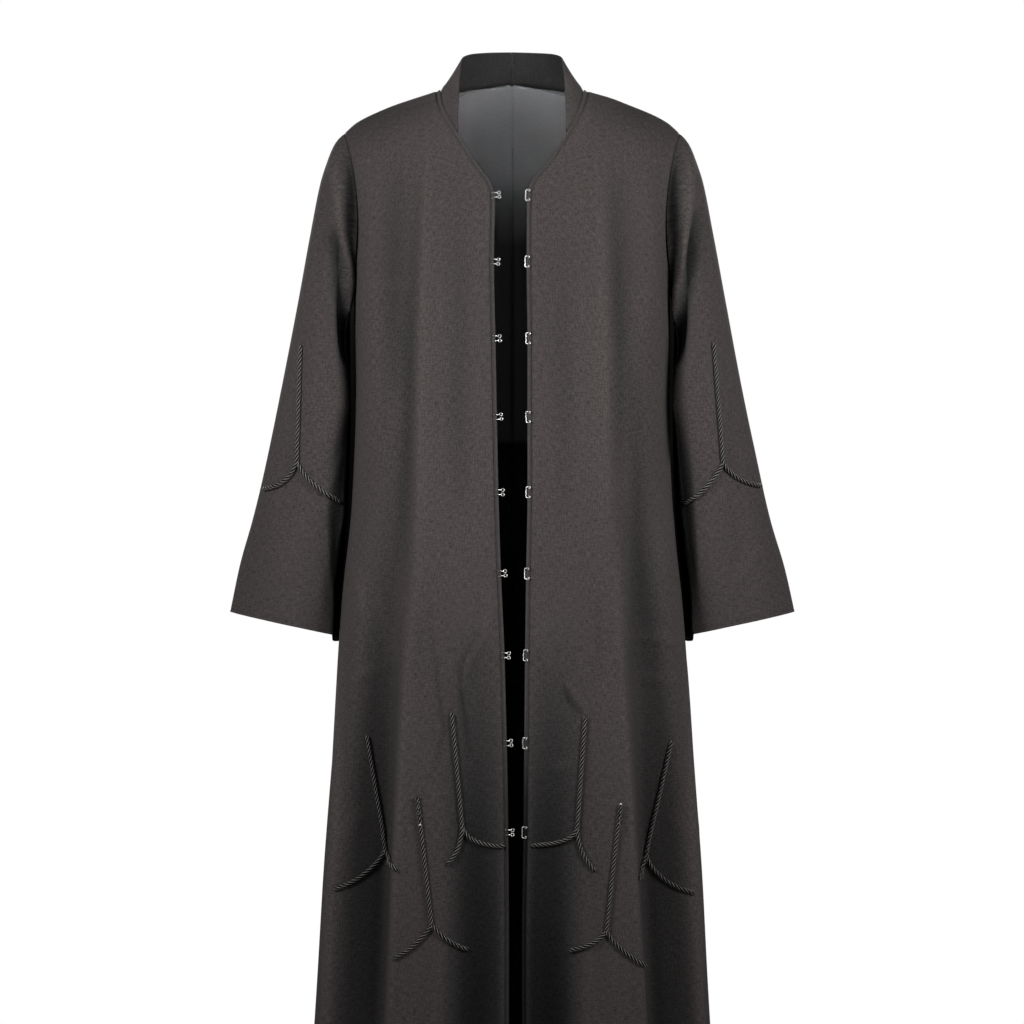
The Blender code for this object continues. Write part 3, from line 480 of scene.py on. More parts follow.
SLEEVE_FRONT_CREASES = {
    "right": (
        Crease(6, 6, ((213, 70), (214, 95), (208, 126), (202, 170), (191, 221), (186, 285)), 0, 0.3),
        Crease(9, -13, ((215, 165), (211, 190), (205, 238), (198, 278), (192, 330)), 0, -1.1),
        Crease(11, -5, ((200, 264), (192, 310), (184, 350), (181, 380), (182, 520)), 0, -3.4),
        Crease(11, -6, ((191, 60), (190, 150), (188, 232)), 0, -1.5),
        Crease(15, -7, ((192, 380), (203, 460), (207, 520), (203, 600), (198, 690)), 0, -0.9),
        Crease(4, 2, ((222, 450), (221, 490), (218, 560), (212, 610), (205, 650)), 0, 0.3),
        Crease(5, 1.5, ((196, 425), (206, 448), (216, 478), (219, 500)), 0, 0.2),
        Crease(8, 1.2, ((196, 345), (205, 400), (214, 432))),
        Crease(9, 1, ((228, 440), (210, 470), (198, 520), (196, 590)), 0.4),
        Crease(10, 1.1, ((246, 500), (258, 545), (272, 590))),
        Crease(9, -1, ((232, 520), (238, 570), (240, 620))),
        Crease(8, 0.9, ((290, 430), (280, 470), (290, 520)), -0.3),
        Crease(8, -0.9, ((216, 545), (212, 590), (208, 640))),
        Crease(10, 0.9, ((236, 150), (240, 220), (250, 290))),
    ),
    "left": (
        Crease(6, 6, ((210, 60), (212, 95), (209, 160), (203, 221), (193, 265), (186, 300)), 0, 0.3),
        Crease(9, -13, ((221, 140), (215, 194), (208, 238), (199, 278), (192, 330)), 0, -1.1),
        Crease(11, -5, ((201, 266), (190, 310), (180, 350), (175, 380), (178, 520)), 0, -3.4),
        Crease(11, -7, ((191, 60), (189, 150), (187, 238)), 0, -1.5),
        Crease(15, -7, ((190, 380), (200, 460), (204, 530), (207, 600), (208, 680)), 0, -0.9),
        Crease(4, 2, ((214, 440), (218, 490), (222, 560), (224, 620)), 0, 0.3),
        Crease(8, 1.1, ((200, 380), (210, 420), (214, 460))),
        Crease(7, 1, ((303, 540), (280, 568), (257, 600)), 0.4),
        Crease(9, 1, ((238, 500), (228, 545), (224, 600))),
        Crease(9, -1, ((262, 500), (270, 550), (286, 600))),
        Crease(8, 0.9, ((292, 420), (280, 440), (262, 446))),
        Crease(10, 0.9, ((240, 160), (246, 240), (258, 300))),
    ),
}
SLEEVE_BACK_CREASES = {
    "right": (
        Crease(9, 1.8, ((206, 150), (200, 220), (205, 300)), 0.4),
        Crease(8, 1.4, ((210, 330), (232, 352), (268, 350)), 0.4),
        Crease(8, 1.2, ((214, 372), (240, 392), (276, 384))),
        Crease(9, -1.2, ((225, 430), (232, 500), (228, 570))),
        Crease(9, 1, ((270, 450), (280, 520), (300, 580))),
    ),
    "left": (
        Crease(9, 1.8, ((208, 140), (202, 210), (206, 290)), -0.4),
        Crease(8, 1.4, ((212, 320), (236, 344), (270, 338)), 0.4),
        Crease(8, 1.2, ((216, 364), (242, 380), (274, 376))),
        Crease(9, -1.2, ((228, 420), (236, 490), (230, 560))),
        Crease(9, 1, ((268, 460), (284, 530), (302, 590))),
    ),
}
HIDDEN = (BACK_CREASES, SLEEVE_BACK_CREASES)
print(sum(len(c) for table in HIDDEN for c in table.values()), "creases on the hidden sides")

# %% [markdown]
# To raise a crease, each point of the cloth finds its nearest place on the line. The crease fades over its width and
# towards its two ends, so it never stops with a hard mark. A slow noise, stretched down the cloth because cloth
# hangs, adds the faint unevenness that keeps a large panel from looking like sheet metal.

# %% Raise the creases
SEED_STEP = np.array((7.31, 3.17, 5.53))


def crease_lift(points, creases, side):
    """How far the creases lift each point, and how much painted shade or painted highlight they give it."""
    flat = points[..., (0, 2)]
    lift, shade = np.zeros((2, *flat.shape[:-1]))
    for crease in creases[side]:
        line = np.array(crease.line, float) * (SIDES[side], -1)
        before, runs = spread(line, 0), length_of(np.diff(line, axis=0))[:, 0]
        best = np.full(lift.shape, 1e9)
        along, across = np.zeros((2, *lift.shape))
        for start, end, run, done in zip(line, line[1:], runs, before):
            way = (end - start) / run
            rel = flat - start
            t = np.clip(rel @ way, 0, run)
            gap = rel - t[..., None] * way
            far = np.hypot(gap[..., 0], gap[..., 1])
            nearer = far < best
            best = np.where(nearer, far, best)
            along = np.where(nearer, (done + t) / before[-1], along)
            across = np.where(nearer, way[0] * gap[..., 1] - way[1] * gap[..., 0], across)
        fade = np.sin(np.pi * np.clip(along, 0, 1)) ** 0.7 * np.exp(-(best / crease.width) ** 2)
        lift += fade * (crease.ridge + crease.step * 2 * across / crease.width)
        shade += fade * crease.shade
    return lift, shade


def unevenness(points, amount, grain=(42, 60, 210), seed=0):
    """A slow swell, in mm, the same each time the lesson runs."""
    scaled = points.reshape(-1, 3) / grain + seed * SEED_STEP
    return amount * np.array([noise.noise(Vector(p)) for p in scaled]).reshape(points.shape[:-1])


print("swell at the middle of the right front, in mm:", round(float(unevenness(middle, 1.6)), 2))

# %% [markdown]
# The grid becomes a mesh of four-sided faces. Each face corner also stores where it lies on the flat cut, in metres,
# as a UV map named Cloth. The weave is drawn on that map, so its threads follow the cloth and not the room. A
# Solidify modifier then gives the sheet its thickness, inwards, which leaves the outside where the solid has it.

# %% From a grid to a mesh
ROUND = (0, 3, 2, 1)


def cells(grid, order=(0, 1, 2, 3)):
    """The four corners of each cell of a grid, in this order round it."""
    corners = grid[:-1, :-1], grid[1:, :-1], grid[1:, 1:], grid[:-1, 1:]
    return np.stack([corners[k] for k in order], 2).reshape(-1, 4, *grid.shape[2:])


def mesh_of(name, points, faces, mapped=None):
    """A smooth mesh from points in mm, with its Cloth map if it has one."""
    mesh = bpy.data.meshes.new(name)
    mesh.from_pydata((points.reshape(-1, 3) * MM).tolist(), [], faces)
    if mapped is not None:
        mesh.uv_layers.new(name="Cloth").data.foreach_set("uv", (mapped * MM).ravel())
    mesh.shade_smooth()
    return mesh


def grid_mesh(name, points, closed=False, cloth=None, painted_tone=0):
    index = looped(np.arange(points[..., 0].size).reshape(points.shape[:2]), closed)
    if cloth is None:
        cloth = np.stack([spread(looped(points, closed), axis) for axis in (1, 0)], -1)
    mesh = mesh_of(name, points, cells(index).tolist(), cells(cloth))
    # The points' painted shade, below 0, and painted highlight, above 0, stored on the mesh.
    painted_shade = np.broadcast_to(painted_tone, points.shape[:2]).astype(float)
    mesh.attributes.new("PaintedShade", "FLOAT", "POINT").data.foreach_set("value", painted_shade.ravel())
    return mesh


def face_out(mesh, centre_of):
    """Turns the faces round where they point at the piece's own centre."""
    mesh.update()
    if sum((f.center - Vector(centre_of(f.center))).dot(f.normal) for f in mesh.polygons) < 0:
        mesh.flip_normals()


def shown(name, data, finish, nodes):
    """A piece on show: it rides on the garment, stands for its solids and takes its finish."""
    piece = bpy.data.objects.new(name, data)
    bpy.context.scene.collection.objects.link(piece)
    data.materials.append(finish)
    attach(piece, BODY_NAME)
    if nodes:
        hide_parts(*nodes)
    return piece


print("every piece rides on", BODY_NAME)

# %% [markdown]
# ## Finishes
# A finish is a recipe of shader nodes. One small class wraps a node's output, so that sums on it add the Math nodes
# by themselves. Another makes every other kind of node in one call: its type, its settings, and its sockets' values.

# %% Sums on node outputs
class Signal:
    def __init__(self, finish, socket):
        self.finish, self.socket = finish, socket

    def out(self, which):
        """Another output of the same node."""
        return Signal(self.finish, self.socket.node.outputs[which])

    def math(self, operation, *values):
        return self.finish.node("Math", {"operation": operation}, dict(enumerate(values)))

    def __add__(self, other):
        return self.math("ADD", self, other)

    def __sub__(self, other):
        return self.math("SUBTRACT", self, other)

    def __rsub__(self, other):
        return self.math("SUBTRACT", other, self)

    def __mul__(self, other):
        return self.math("MULTIPLY", self, other)

    __radd__, __rmul__ = __add__, __mul__

    def wave(self):
        return self.math("SINE", self)

    def size(self):
        return self.math("ABSOLUTE", self)

    def between(self, low, high):
        """0 at low and 1 at high, and held there beyond them."""
        return self.finish.node("MapRange", {"clamp": True}, {0: self, 1: low, 2: high})


print("sums are written on a", Signal.__name__)

# %% Finishes
class Finish:
    def __init__(self, name, steady):
        self.material = bpy.data.materials.new(name)
        self.material.use_nodes = True
        self.tree = self.material.node_tree
        self.shader = self.tree.nodes["Principled BSDF"]
        self.fill(self.shader, steady)

    def fill(self, node, sockets):
        for key, value in sockets.items():
            if isinstance(value, Signal):
                self.tree.links.new(value.socket, node.inputs[key])
            else:
                node.inputs[key].default_value = value

    def node(self, kind, settings, sockets, out=0):
        made = self.tree.nodes.new("ShaderNode" + kind)
        for key, value in settings.items():
            setattr(made, key, value)
        self.fill(made, sockets)
        return Signal(self, made.outputs[out])

    def mixed(self, share, first, second):
        return self.node("Mix", {"data_type": "RGBA"}, {0: share, 6: first, 7: second}, out=2)

    def parts(self, vector):
        across = self.node("SeparateXYZ", {}, {0: vector})
        return across, across.out(1)

    def mottle(self, vector, sizes, detail=2.0, rough=0.5):
        """Noise with this many swings to a metre along each way."""
        spot = self.node("VectorMath", {"operation": "MULTIPLY"}, {0: vector, 1: sizes})
        return self.node("TexNoise", {}, {"Vector": spot, "Scale": 1.0, "Detail": detail, "Roughness": rough})

    def dimmed(self, colour, factor):
        return self.node("VectorMath", {"operation": "SCALE"}, {0: colour, 3: factor})

    def bumped(self, height, strength, millimetres):
        return self.node("Bump", {}, {"Strength": strength, "Distance": millimetres * MM, "Height": height})

    def finished(self, varying):
        self.fill(self.shader, varying)
        return self.material

    def glossy_where(self, share, colour):
        """Keeps gloss and sheen where share is 1. Where it is 0 only the plain colour is left, which deepens painted
        shade.
        """
        plain = self.node("BsdfDiffuse", {}, {"Color": colour})
        both = self.node("MixShader", {}, {0: share, 1: plain, 2: Signal(self, self.shader.outputs[0])})
        self.fill(self.tree.nodes["Material Output"], {"Surface": both})


print("nodes are made by a", Finish.__name__)

# %% [markdown]
# The cloth is a plain weave of two-tone yarn, so from close it shows crossing threads and from a step away a fine
# fleck. Three noises make the fleck: one drawn out along the warp, one along the weft, and a round one for the two
# tones. All are laid on the Cloth map, in metres. The crossing threads are two sine waves, which only need to lift the
# surface a tenth of a millimetre. Light and shade are painted into the colour as well: a painted highlight on ridges,
# and painted shade, darker and greyer, in hollows. The meshes carry that as a number on each point, below 0 where it
# is dark. In the deepest painted shade, as under the arms, the gloss and the sheen are taken away as well.

# %% Woven cloth
THREAD = 0.62
MATT = {"Roughness": 0.88, "Specular IOR Level": 0.12, "Sheen Weight": 0.03, "Sheen Roughness": 0.55}
WARP, WEFT, FLECK, PATCHES = (800, 140, 1), (140, 800, 1), (620, 620, 1), (9, 4, 1)
# Painted shade and painted highlight: for each band of the points' value, how far the colour is dimmed or lightened.
PAINTED_SHADE_FLOOR, PAINTED_SHADE_GAINS = 0.08, ((DARKEST, -1.4, 0.255), (-1.4, 0, 0.665), (0, 1, 0.35))
GREYING, GREYED, GLOSS_LEAVES = 0.75, (-0.1, -1.2), (-1.9, -0.9)


def woven(name, dark, light, tint):
    cloth = Finish(name, MATT)
    flat = cloth.node("UVMap", {"uv_map": "Cloth"}, {})
    warp, weft, fleck = cloth.mottle(flat, WARP), cloth.mottle(flat, WEFT), cloth.mottle(flat, FLECK, 3.0, 0.65)
    share = (warp * 0.34 + weft * 0.36 + fleck * 0.30).between(0.39, 0.61)
    colour = cloth.mixed(share, (*dark, 1), (*light, 1))
    colour = cloth.mixed(cloth.mottle(flat, PATCHES).between(0.35, 0.7) * 0.3, colour, (*tint, 1))
    painted_tone = cloth.node("Attribute", {"attribute_name": "PaintedShade"}, {}, out=2)
    # Painted shade also greys the colour in the hollows.
    grey = cloth.node("RGBToBW", {}, {"Color": colour})
    colour = cloth.mixed(painted_tone.between(*GREYED) * GREYING, colour, grey)
    dim = PAINTED_SHADE_FLOOR
    for low, high, gain in PAINTED_SHADE_GAINS:
        dim = dim + painted_tone.between(low, high) * gain
    colour = cloth.dimmed(colour, dim)
    # In the deepest painted shade the gloss and the sheen are taken away too.
    cloth.glossy_where(painted_tone.between(*GLOSS_LEAVES), colour)
    across, along = cloth.parts(flat)
    turns = math.pi / (THREAD * MM)
    threads = ((across * turns).wave() * (along * turns).wave()).size()
    height = threads * 0.5 + warp * 0.7 + weft * 0.7
    return cloth.finished({"Base Color": colour, "Roughness": 0.80 + 0.12 * share,
                           "Normal": cloth.bumped(height, 0.6, 0.2)})


CLOTH_LOOK = woven("melange_cloth", (0.0365, 0.0307, 0.0298), (0.1020, 0.0884, 0.0859), (0.060, 0.056, 0.054))
PIPING_LOOK = woven("piping_cloth", (0.048, 0.043, 0.042), (0.090, 0.083, 0.081), (0.070, 0.066, 0.064))
# A darker copy of the same cloth, for the collar's inside: painted shade, as little light gets in there.
SHADED_INSIDE_LOOK = woven("inside_cloth", (0.0160, 0.0153, 0.0153), (0.0380, 0.0365, 0.0365), (0.0272, 0.0262, 0.0262))
print("woven finishes:", CLOTH_LOOK.name, PIPING_LOOK.name, SHADED_INSIDE_LOOK.name)

# %% [markdown]
# The lining is satin: long floats of thread that lie side by side and shine. A low roughness under a little sheen
# gives the shine, and a very fine slanting wave gives the floats. The cord is four strands of shiny yarn. Each
# strand's own filaments run along it, so the noise is drawn out that way and both tints and lifts it. The colour
# goes by the way round each strand: a painted highlight on its crown, and painted shade, nearly black, in the
# groove beside it.

# %% Satin, cord and thread
SATIN_FLOAT, SATIN_DARK, SATIN_LIGHT = 0.5, (0.112, 0.112, 0.120, 1), (0.160, 0.160, 0.170, 1)
STRAND_GIRTH, THREAD_GIRTH, CROWN = 6.53, 1.5, (0.92, 1.0)


def satin():
    cloth = Finish("lining_satin", {"Specular IOR Level": 0.7, "Sheen Weight": 0.1})
    flat = cloth.node("UVMap", {"uv_map": "Cloth"}, {})
    across, along = cloth.parts(flat)
    floats = ((across + along * 2) * (math.pi / (SATIN_FLOAT * MM))).wave().size()
    soft, fine = cloth.mottle(flat, (60, 25, 1)), cloth.mottle(flat, (2200, 300, 1), 1.0)
    return cloth.finished({"Base Color": cloth.mixed(fine.between(0.3, 0.7), SATIN_DARK, SATIN_LIGHT),
                           "Roughness": 0.28 + 0.12 * soft,
                           "Normal": cloth.bumped(floats * 0.5 + fine * 0.5, 0.25, 0.06)})


def yarn(name, dark, light, roughness, girth):
    """Shiny filaments along a strand of this girth in mm, with a painted highlight on its crown and painted shade in
    the groove beside it.
    """
    cord = Finish(name, {"Specular IOR Level": 0.35, "Sheen Weight": 0.05, "Sheen Roughness": 0.3})
    flat = cord.node("UVMap", {"uv_map": "Cloth"}, {})
    filaments = cord.mottle(flat, (4200, 260, 1))
    crown = (cord.parts(flat)[0] * (2 * math.pi / (girth * MM)) + math.pi / 2).wave().between(*CROWN)
    # Painted highlight on each strand's crown and painted shade in the groove.
    colour = cord.mixed(crown * (0.4 + 1.0 * filaments), (*dark, 1), (*light, 1))
    return cord.finished({"Base Color": colour, "Roughness": roughness + 0.2 * filaments,
                          "Normal": cord.bumped(filaments, 0.6, 0.12)})


SATIN_LOOK = satin()
CORD_LOOK = yarn("twisted_cord", (0.0030, 0.0028, 0.0026), (0.420, 0.400, 0.380), 0.40, STRAND_GIRTH)
THREAD_LOOK = yarn("sewing_thread", (0.030, 0.027, 0.026), (0.075, 0.069, 0.067), 0.45, THREAD_GIRTH)
print("satin and yarn:", SATIN_LOOK.name, CORD_LOOK.name, THREAD_LOOK.name)

# %% [markdown]
# The hooks and eyes are plated wire. Plating dulls where it is handled, so a noise in the object's own space moves
# the roughness and darkens the colour a little. The beads are dark glass and pearl with a clear coat. One recipe with
# other numbers serves all of them, and the studio's paper too.

# %% Wire and bead
def clouded(name, steady, grain, detail, reach, first, second, dull=None, dent=None):
    """Clouds of two colours in the object's own space, this many to a metre, which may also dull and dent it."""
    finish = Finish(name, steady)
    cloud = finish.mottle(finish.node("TexCoord", {}, {}, out=3), (grain, grain, grain), detail)
    varying = {"Base Color": finish.mixed(cloud.between(*reach), (*first, 1), (*second, 1))}
    if dull:
        varying["Roughness"] = dull[0] + dull[1] * cloud
    if dent:
        varying["Normal"] = finish.bumped(cloud, *dent)
    return finish.finished(varying)


WIRE_LOOK = clouded("plated_wire", {"Metallic": 1.0}, 700, 3.0, (0.42, 0.72), (0.94, 0.93, 0.90), (0.52, 0.50, 0.47),
                    dull=(0.24, 0.2), dent=(0.15, 0.05))
BEAD_LOOK = clouded("dark_glass", {"Roughness": 0.06, "Coat Weight": 1.0, "Coat Roughness": 0.03}, 900, 2.0,
                    (0.35, 0.65), (0.012, 0.011, 0.011), (0.05, 0.048, 0.05))
PEARL_LOOK = clouded("pearl_bead", {"Roughness": 0.18, "Coat Weight": 0.8, "Coat Roughness": 0.05}, 600, 2.0,
                     (0.3, 0.7), (0.62, 0.60, 0.56), (0.82, 0.80, 0.78))
print("finishes made:", len(bpy.data.materials))

# %% [markdown]
# ## The panels
# Evenly spaced columns look better than evenly spaced angles, because threads and creases then keep their size. So
# each row is first measured with many points, and its columns are placed by distance along the cloth. Rows follow the
# quarter turn over the shoulder, where a step of height is a long way along the cloth.

# %% Rows and columns of a panel
FINE_EDGE = np.array([0, 0.5, 1.1, 1.9, 3.0, 4.6])
FINE_TURN = (0, 0.3, 0.7, 1.3, 2.2, 3.4)
ROW_STEP, TURN_PER_MM, DENSE = 5.5, 0.42, 500
TURN_SHARE = SHOULDER_ROUND / (SHOULDER - UNDERARM)
turn = np.radians(np.concatenate((FINE_TURN, np.arange(5, 90, ROW_STEP * TURN_PER_MM), [90])))
ROWS = np.concatenate((TURN_SHARE * (1 - np.cos(turn)), np.linspace(TURN_SHARE, 1, 10)[1:-1],
                       1 + np.linspace(0, 1, round((UNDERARM - HEM) / ROW_STEP))))


def panel_points(surface, side, rows, columns, start=0.0, reach=1.0):
    """A grid on a surface, its columns evenly spaced along the cloth from a distance in from its edge."""
    dense = np.linspace(0, reach, DENSE)
    across = []
    for lengths in spread(surface(side, *np.meshgrid(dense, rows)), 1):
        end = lengths[-1]
        inner = np.linspace(start + FINE_EDGE[-1], end - FINE_EDGE[-1], columns)[1:-1]
        wanted = np.concatenate((start + FINE_EDGE, inner, end - FINE_EDGE[::-1]))
        across.append(np.interp(wanted, lengths, dense))
    return surface(side, np.array(across), np.broadcast_to(rows[:, None], np.shape(across)))


def body_centre(points):
    return place(0, 0, np.minimum(points[..., 2], UNDERARM))


print(len(ROWS), "rows in a panel")

# %% [markdown]
# A garment is cut flat, so each piece of cloth is noted with how wide and long a flat cut it needs and how much of
# that it uses. What is sewn onto it is noted too. Cloth simulation could start from these cuts, but here they only
# measure, because the worn form is already known.

# %% Measure a piece of cloth
cloths, grids, trims = {}, {}, {}


def down_to_end(points):
    down = spread(points, 0)
    return down[-1:] - down


def cut(points, closed=False):
    """The flat cut that this cloth needs: its widest row, its longest column and its area, in metres."""
    grid = looped(points, closed)
    width, length = (spread(grid, axis).max() * MM for axis in (1, 0))
    a, b = grid[1:, 1:] - grid[:-1, :-1], grid[1:, :-1] - grid[:-1, 1:]
    area = float(np.linalg.norm(np.cross(a, b), axis=-1).sum() / 2) * MM * MM
    return {"flat": (width, length), "area": min(area, width * length)}


def body_middle(spot):
    return 0, 0, min(spot.z, UNDERARM * MM)


def sewn(name, mesh, finish, nodes, size, centre_of=body_middle, thickness=0):
    """A piece of cloth on show, its faces turned out, given its thickness and noted with its flat cut."""
    face_out(mesh, centre_of)
    piece = shown(name, mesh, finish, nodes)
    if thickness:
        solid = piece.modifiers.new("Thickness", "SOLIDIFY")
        solid.thickness, solid.offset = thickness * MM, -1
    cloths[name], trims[name] = (piece, size), []
    print(name, "cut", [round(v, 3) for v in size["flat"]], "m")


half_way = front("right", np.linspace(0, 1, DENSE), np.full(DENSE, 1.5))
print("half-way down, the right front is", round(float(spread(half_way, 0)[-1])), "mm wide")

# %% [markdown]
# Near a seam the creases fade, so that two pieces still meet, and the cloth rolls in. Down at the hem a turned-up
# edge shows as a faint step outside, with a dent under its row of stitches. The skirt's folds get a painted
# highlight on their crowns and painted shade in their hollows, and the rolled seams get painted shade too. A front
# starts beside its piping and a back at the centre seam.

# %% The fronts and the backs
CLOTH_THICK, SWELL, SEAM_FADE, FULL_LIFT, FULL_FOLD = 1.2, 1.6, 14, 9, 26
HEM_TURN, HEM_STEP, HEM_DENT, HEM_SOFT = 22, 0.35, 0.3, 1.5
TAKEN_IN, TAKEN_FROM, TAKEN_RUN = 0.009, -600, 200
BAND_WIDTH, SEAM_GAP = 4.5, 0.3


def fold_painted_shade(points, side, behind):
    """How much painted highlight the skirt's folds put on their crowns, and painted shade in their hollows."""
    height = points[..., 2]
    share = np.clip(np.abs(points[..., 0]) / half_width(height), 0, 1)
    angle = np.degrees(np.arcsin(share ** (1 / POWER)))
    fold = fold_depth(side, 180 - angle if behind else angle, height)
    return np.where(height < UNDERARM, np.tanh(fold / FULL_FOLD), 0)


def panel(part, surface, side, columns, creases, seed, start=0.0):
    """A front or a back, with its creases and its unevenness raised, its seam edges rolled in and its hem turned up."""
    points = panel_points(surface, side, ROWS, columns, start)
    points[..., 0] *= 1 - TAKEN_IN * eased((TAKEN_FROM - points[..., 2]) / TAKEN_RUN)
    out = normals_of(points, body_centre(points))
    across, down = spread(points, 1), spread(points, 0)
    gaps = across[:, -1:] - across, across, down
    lift, shade = crease_lift(points, creases, side)
    lift = lift + unevenness(points, SWELL, seed=seed)
    for gap in gaps:
        lift = lift * eased(gap / SEAM_FADE)
    rolls = np.max([rolled(gap) for gap in gaps], 0)
    moved = points + out * (lift - rolls)[..., None]
    above = down_to_end(moved) - HEM_TURN
    moved = moved + out * (HEM_STEP * (1 - eased(above / HEM_SOFT)) - HEM_DENT * np.exp(-above ** 2))[..., None]
    # Painted shade and painted highlight: from the creases' height, darker where the seams roll in, with the creases'
    # own painted shade and the skirt folds'.
    painted_shade = np.tanh((lift - 2 * rolls) / FULL_LIFT) + shade + fold_painted_shade(moved, side, part == "back")
    name = f"cloth_{part}_{side}"
    sewn(name, grid_mesh(name, moved, painted_tone=np.clip(painted_shade, DARKEST, 1)), CLOTH_LOOK,
         (f"{part}_{side}_bodice", f"{part}_{side}_skirt"), cut(moved), thickness=CLOTH_THICK)
    grids[name] = moved, out


for side, sign in SIDES.items():
    panel("front", front, side, 96, FRONT_CREASES, 1 + sign, BAND_WIDTH + SEAM_GAP)
for side, sign in SIDES.items():
    panel("back", back, side, 78, BACK_CREASES, 5 + sign)

# %% [markdown]
# A sleeve is a tube, so its columns run all the way round. Its creases are drawn as seen from the front for the front
# half and from the back for the back half, and fade where the halves meet. The sleeve's head tucks in under the
# panels, as its seam allowance does. The side turned to the body gets painted shade below the armhole. The cuff is
# stitched close to its edge.

# %% The sleeves
CUFF_STITCH, CUFF_DENT, SEAM_TUCK, HEAD_FADE, SIDE_FADE = 3.6, 0.35, 3.2, 12, 0.42
ELBOW_EASE, SLEEVE_SWELL, UNDER_SHADE, UNDER_TOP, UNDER_RUN = 2.8, 1.5, 1.75, -222, 16
INWARDS_FROM, INWARDS_RUN, ARM_CENTRE, ARM_LEAN = 0.80, 0.19, 0.215, (0.17, 0.03)
SLEEVE_ROWS = np.concatenate(([0, 0.001, 0.0022, 0.004, 0.007], np.linspace(0.012, 0.985, 118),
                              [0.989, 0.992, 0.9945, 0.9962, 0.998, 1]))


def rolled_out(points, side):
    """The Cloth map of a tube laid flat: along the arm, and round it square to the arm."""
    grid = looped(points)
    arm = unit(np.array((SIDES[side] * ARM_LEAN[0], ARM_LEAN[1], -1.0)))
    along = grid @ arm
    return np.stack((spread(grid - along[..., None] * arm, 1), along[:1] - along.min() + spread(grid, 0)), -1)


for side, sign in SIDES.items():
    turns, shares = np.meshgrid(np.arange(0, 360, 3.0), SLEEVE_ROWS)
    outwards, forwards = np.cos(np.radians(turns)), np.sin(np.radians(turns))
    points = sleeve(side, turns, shares)
    points[..., 0] += sign * ELBOW_EASE * eased(shares / 0.8) * np.clip(outwards, 0, 1)
    out = normals_of(points, ((sleeve_outer(shares) + sleeve_inner(shares)) / 2) * (sign, 1, 1), closed=True)
    facing = np.where(forwards > 0, 1, 0)
    lift, shade = (a * facing for a in crease_lift(points, SLEEVE_FRONT_CREASES, side))
    lift = lift + crease_lift(points, SLEEVE_BACK_CREASES, side)[0] * (1 - facing)
    lift = lift * eased(np.abs(forwards) / SIDE_FADE) + unevenness(points, SLEEVE_SWELL, seed=9 + sign)
    down = spread(points, 0)
    lift = lift * eased(down / HEAD_FADE) - rolled(down)
    # Painted shade on the side turned to the body, below the armhole.
    inwards = eased((-out[..., 0] * sign - INWARDS_FROM) / INWARDS_RUN)
    under = inwards * eased((UNDER_TOP - points[..., 2]) / UNDER_RUN)
    painted_shade = np.tanh((lift - rolled(down)) / FULL_LIFT) + shade - UNDER_SHADE * under
    lift = lift - CUFF_DENT * np.exp(-((down_to_end(points) - CUFF_STITCH) / 0.9) ** 2)
    moved = points + out * lift[..., None]
    moved[0] = moved[0] - SEAM_TUCK * place(sign, 0, 0) - 0.55 * SEAM_TUCK * out[0]
    name = f"cloth_sleeve_{side}"
    mesh = grid_mesh(name, moved, True, rolled_out(points, side), np.clip(painted_shade, DARKEST, 1))
    sewn(name, mesh, CLOTH_LOOK, (f"sleeve_{side}",), cut(moved, True),
         lambda spot, out_x=sign * ARM_CENTRE: (out_x, 0.01, spot.z), CLOTH_THICK)
    grids[name] = moved, out

# %% [markdown]
# ## Collar, lining and piping
# The stand collar is two layers of cloth turned over a stiffener, so it has a rounded top edge and no raw side. Each
# half is a ring drawn along the neck: up the outside, over the top, down the inside and on into the seam. A ring
# closes on itself, so no Solidify is needed. It is pressed flat where the halves meet, and drawn together at its end.

# %% The collar's surface
COLLAR_THICK, COLLAR_GAP, COLLAR_ROLL, COLLAR_TAIL, COLLAR_FLARE = 1.9, 0.2, 0.95, 3.2, 1.6
COLLAR_ROWS = 9


def collar_edges(side, share):
    """The sewn edge, the way up from it and the collar's height there."""
    top = place(SIDES[side] * collar_across(share), collar_back(share), collar_up(share))
    along = np.clip((share - COLLAR_SHOULDER_SHARE) / (1 - COLLAR_SHOULDER_SHARE), 0, 1)
    low = front_edge(side, SHOULDER + (UNDERARM - SHOULDER) * COLLAR_END * along)
    behind = back_neck(side, 1 - np.minimum(share / COLLAR_SHOULDER_SHARE, 1))
    base = np.where((share < COLLAR_SHOULDER_SHARE)[..., None], behind, low)
    way = unit(top - base)
    return base + way * COLLAR_GAP, way, length_of(top - base)[..., 0] - COLLAR_GAP


def collar_ring(height):
    """One section of the collar as (up, out) in mm, for each of the heights given."""
    shares = np.linspace(0, 1, COLLAR_ROWS)
    bow = np.radians(np.linspace(90, -90, COLLAR_ROWS))[1:-1]
    up = (height - COLLAR_ROLL)[:, None]
    inside = up * shares[::-1]
    inside[:, -1] = -COLLAR_TAIL
    ups = np.concatenate((up * shares, up + COLLAR_ROLL * np.cos(bow), inside), 1)
    outs = np.concatenate((0 * inside, -COLLAR_ROLL + COLLAR_ROLL * np.sin(bow) + 0 * up,
                           0 * inside - COLLAR_THICK - COLLAR_FLARE * (1 - shares[::-1]) ** 2), 1)
    return ups, outs


print("the collar stands", round(float(collar_edges("right", np.zeros(1))[2][0]), 1), "mm high at the back")

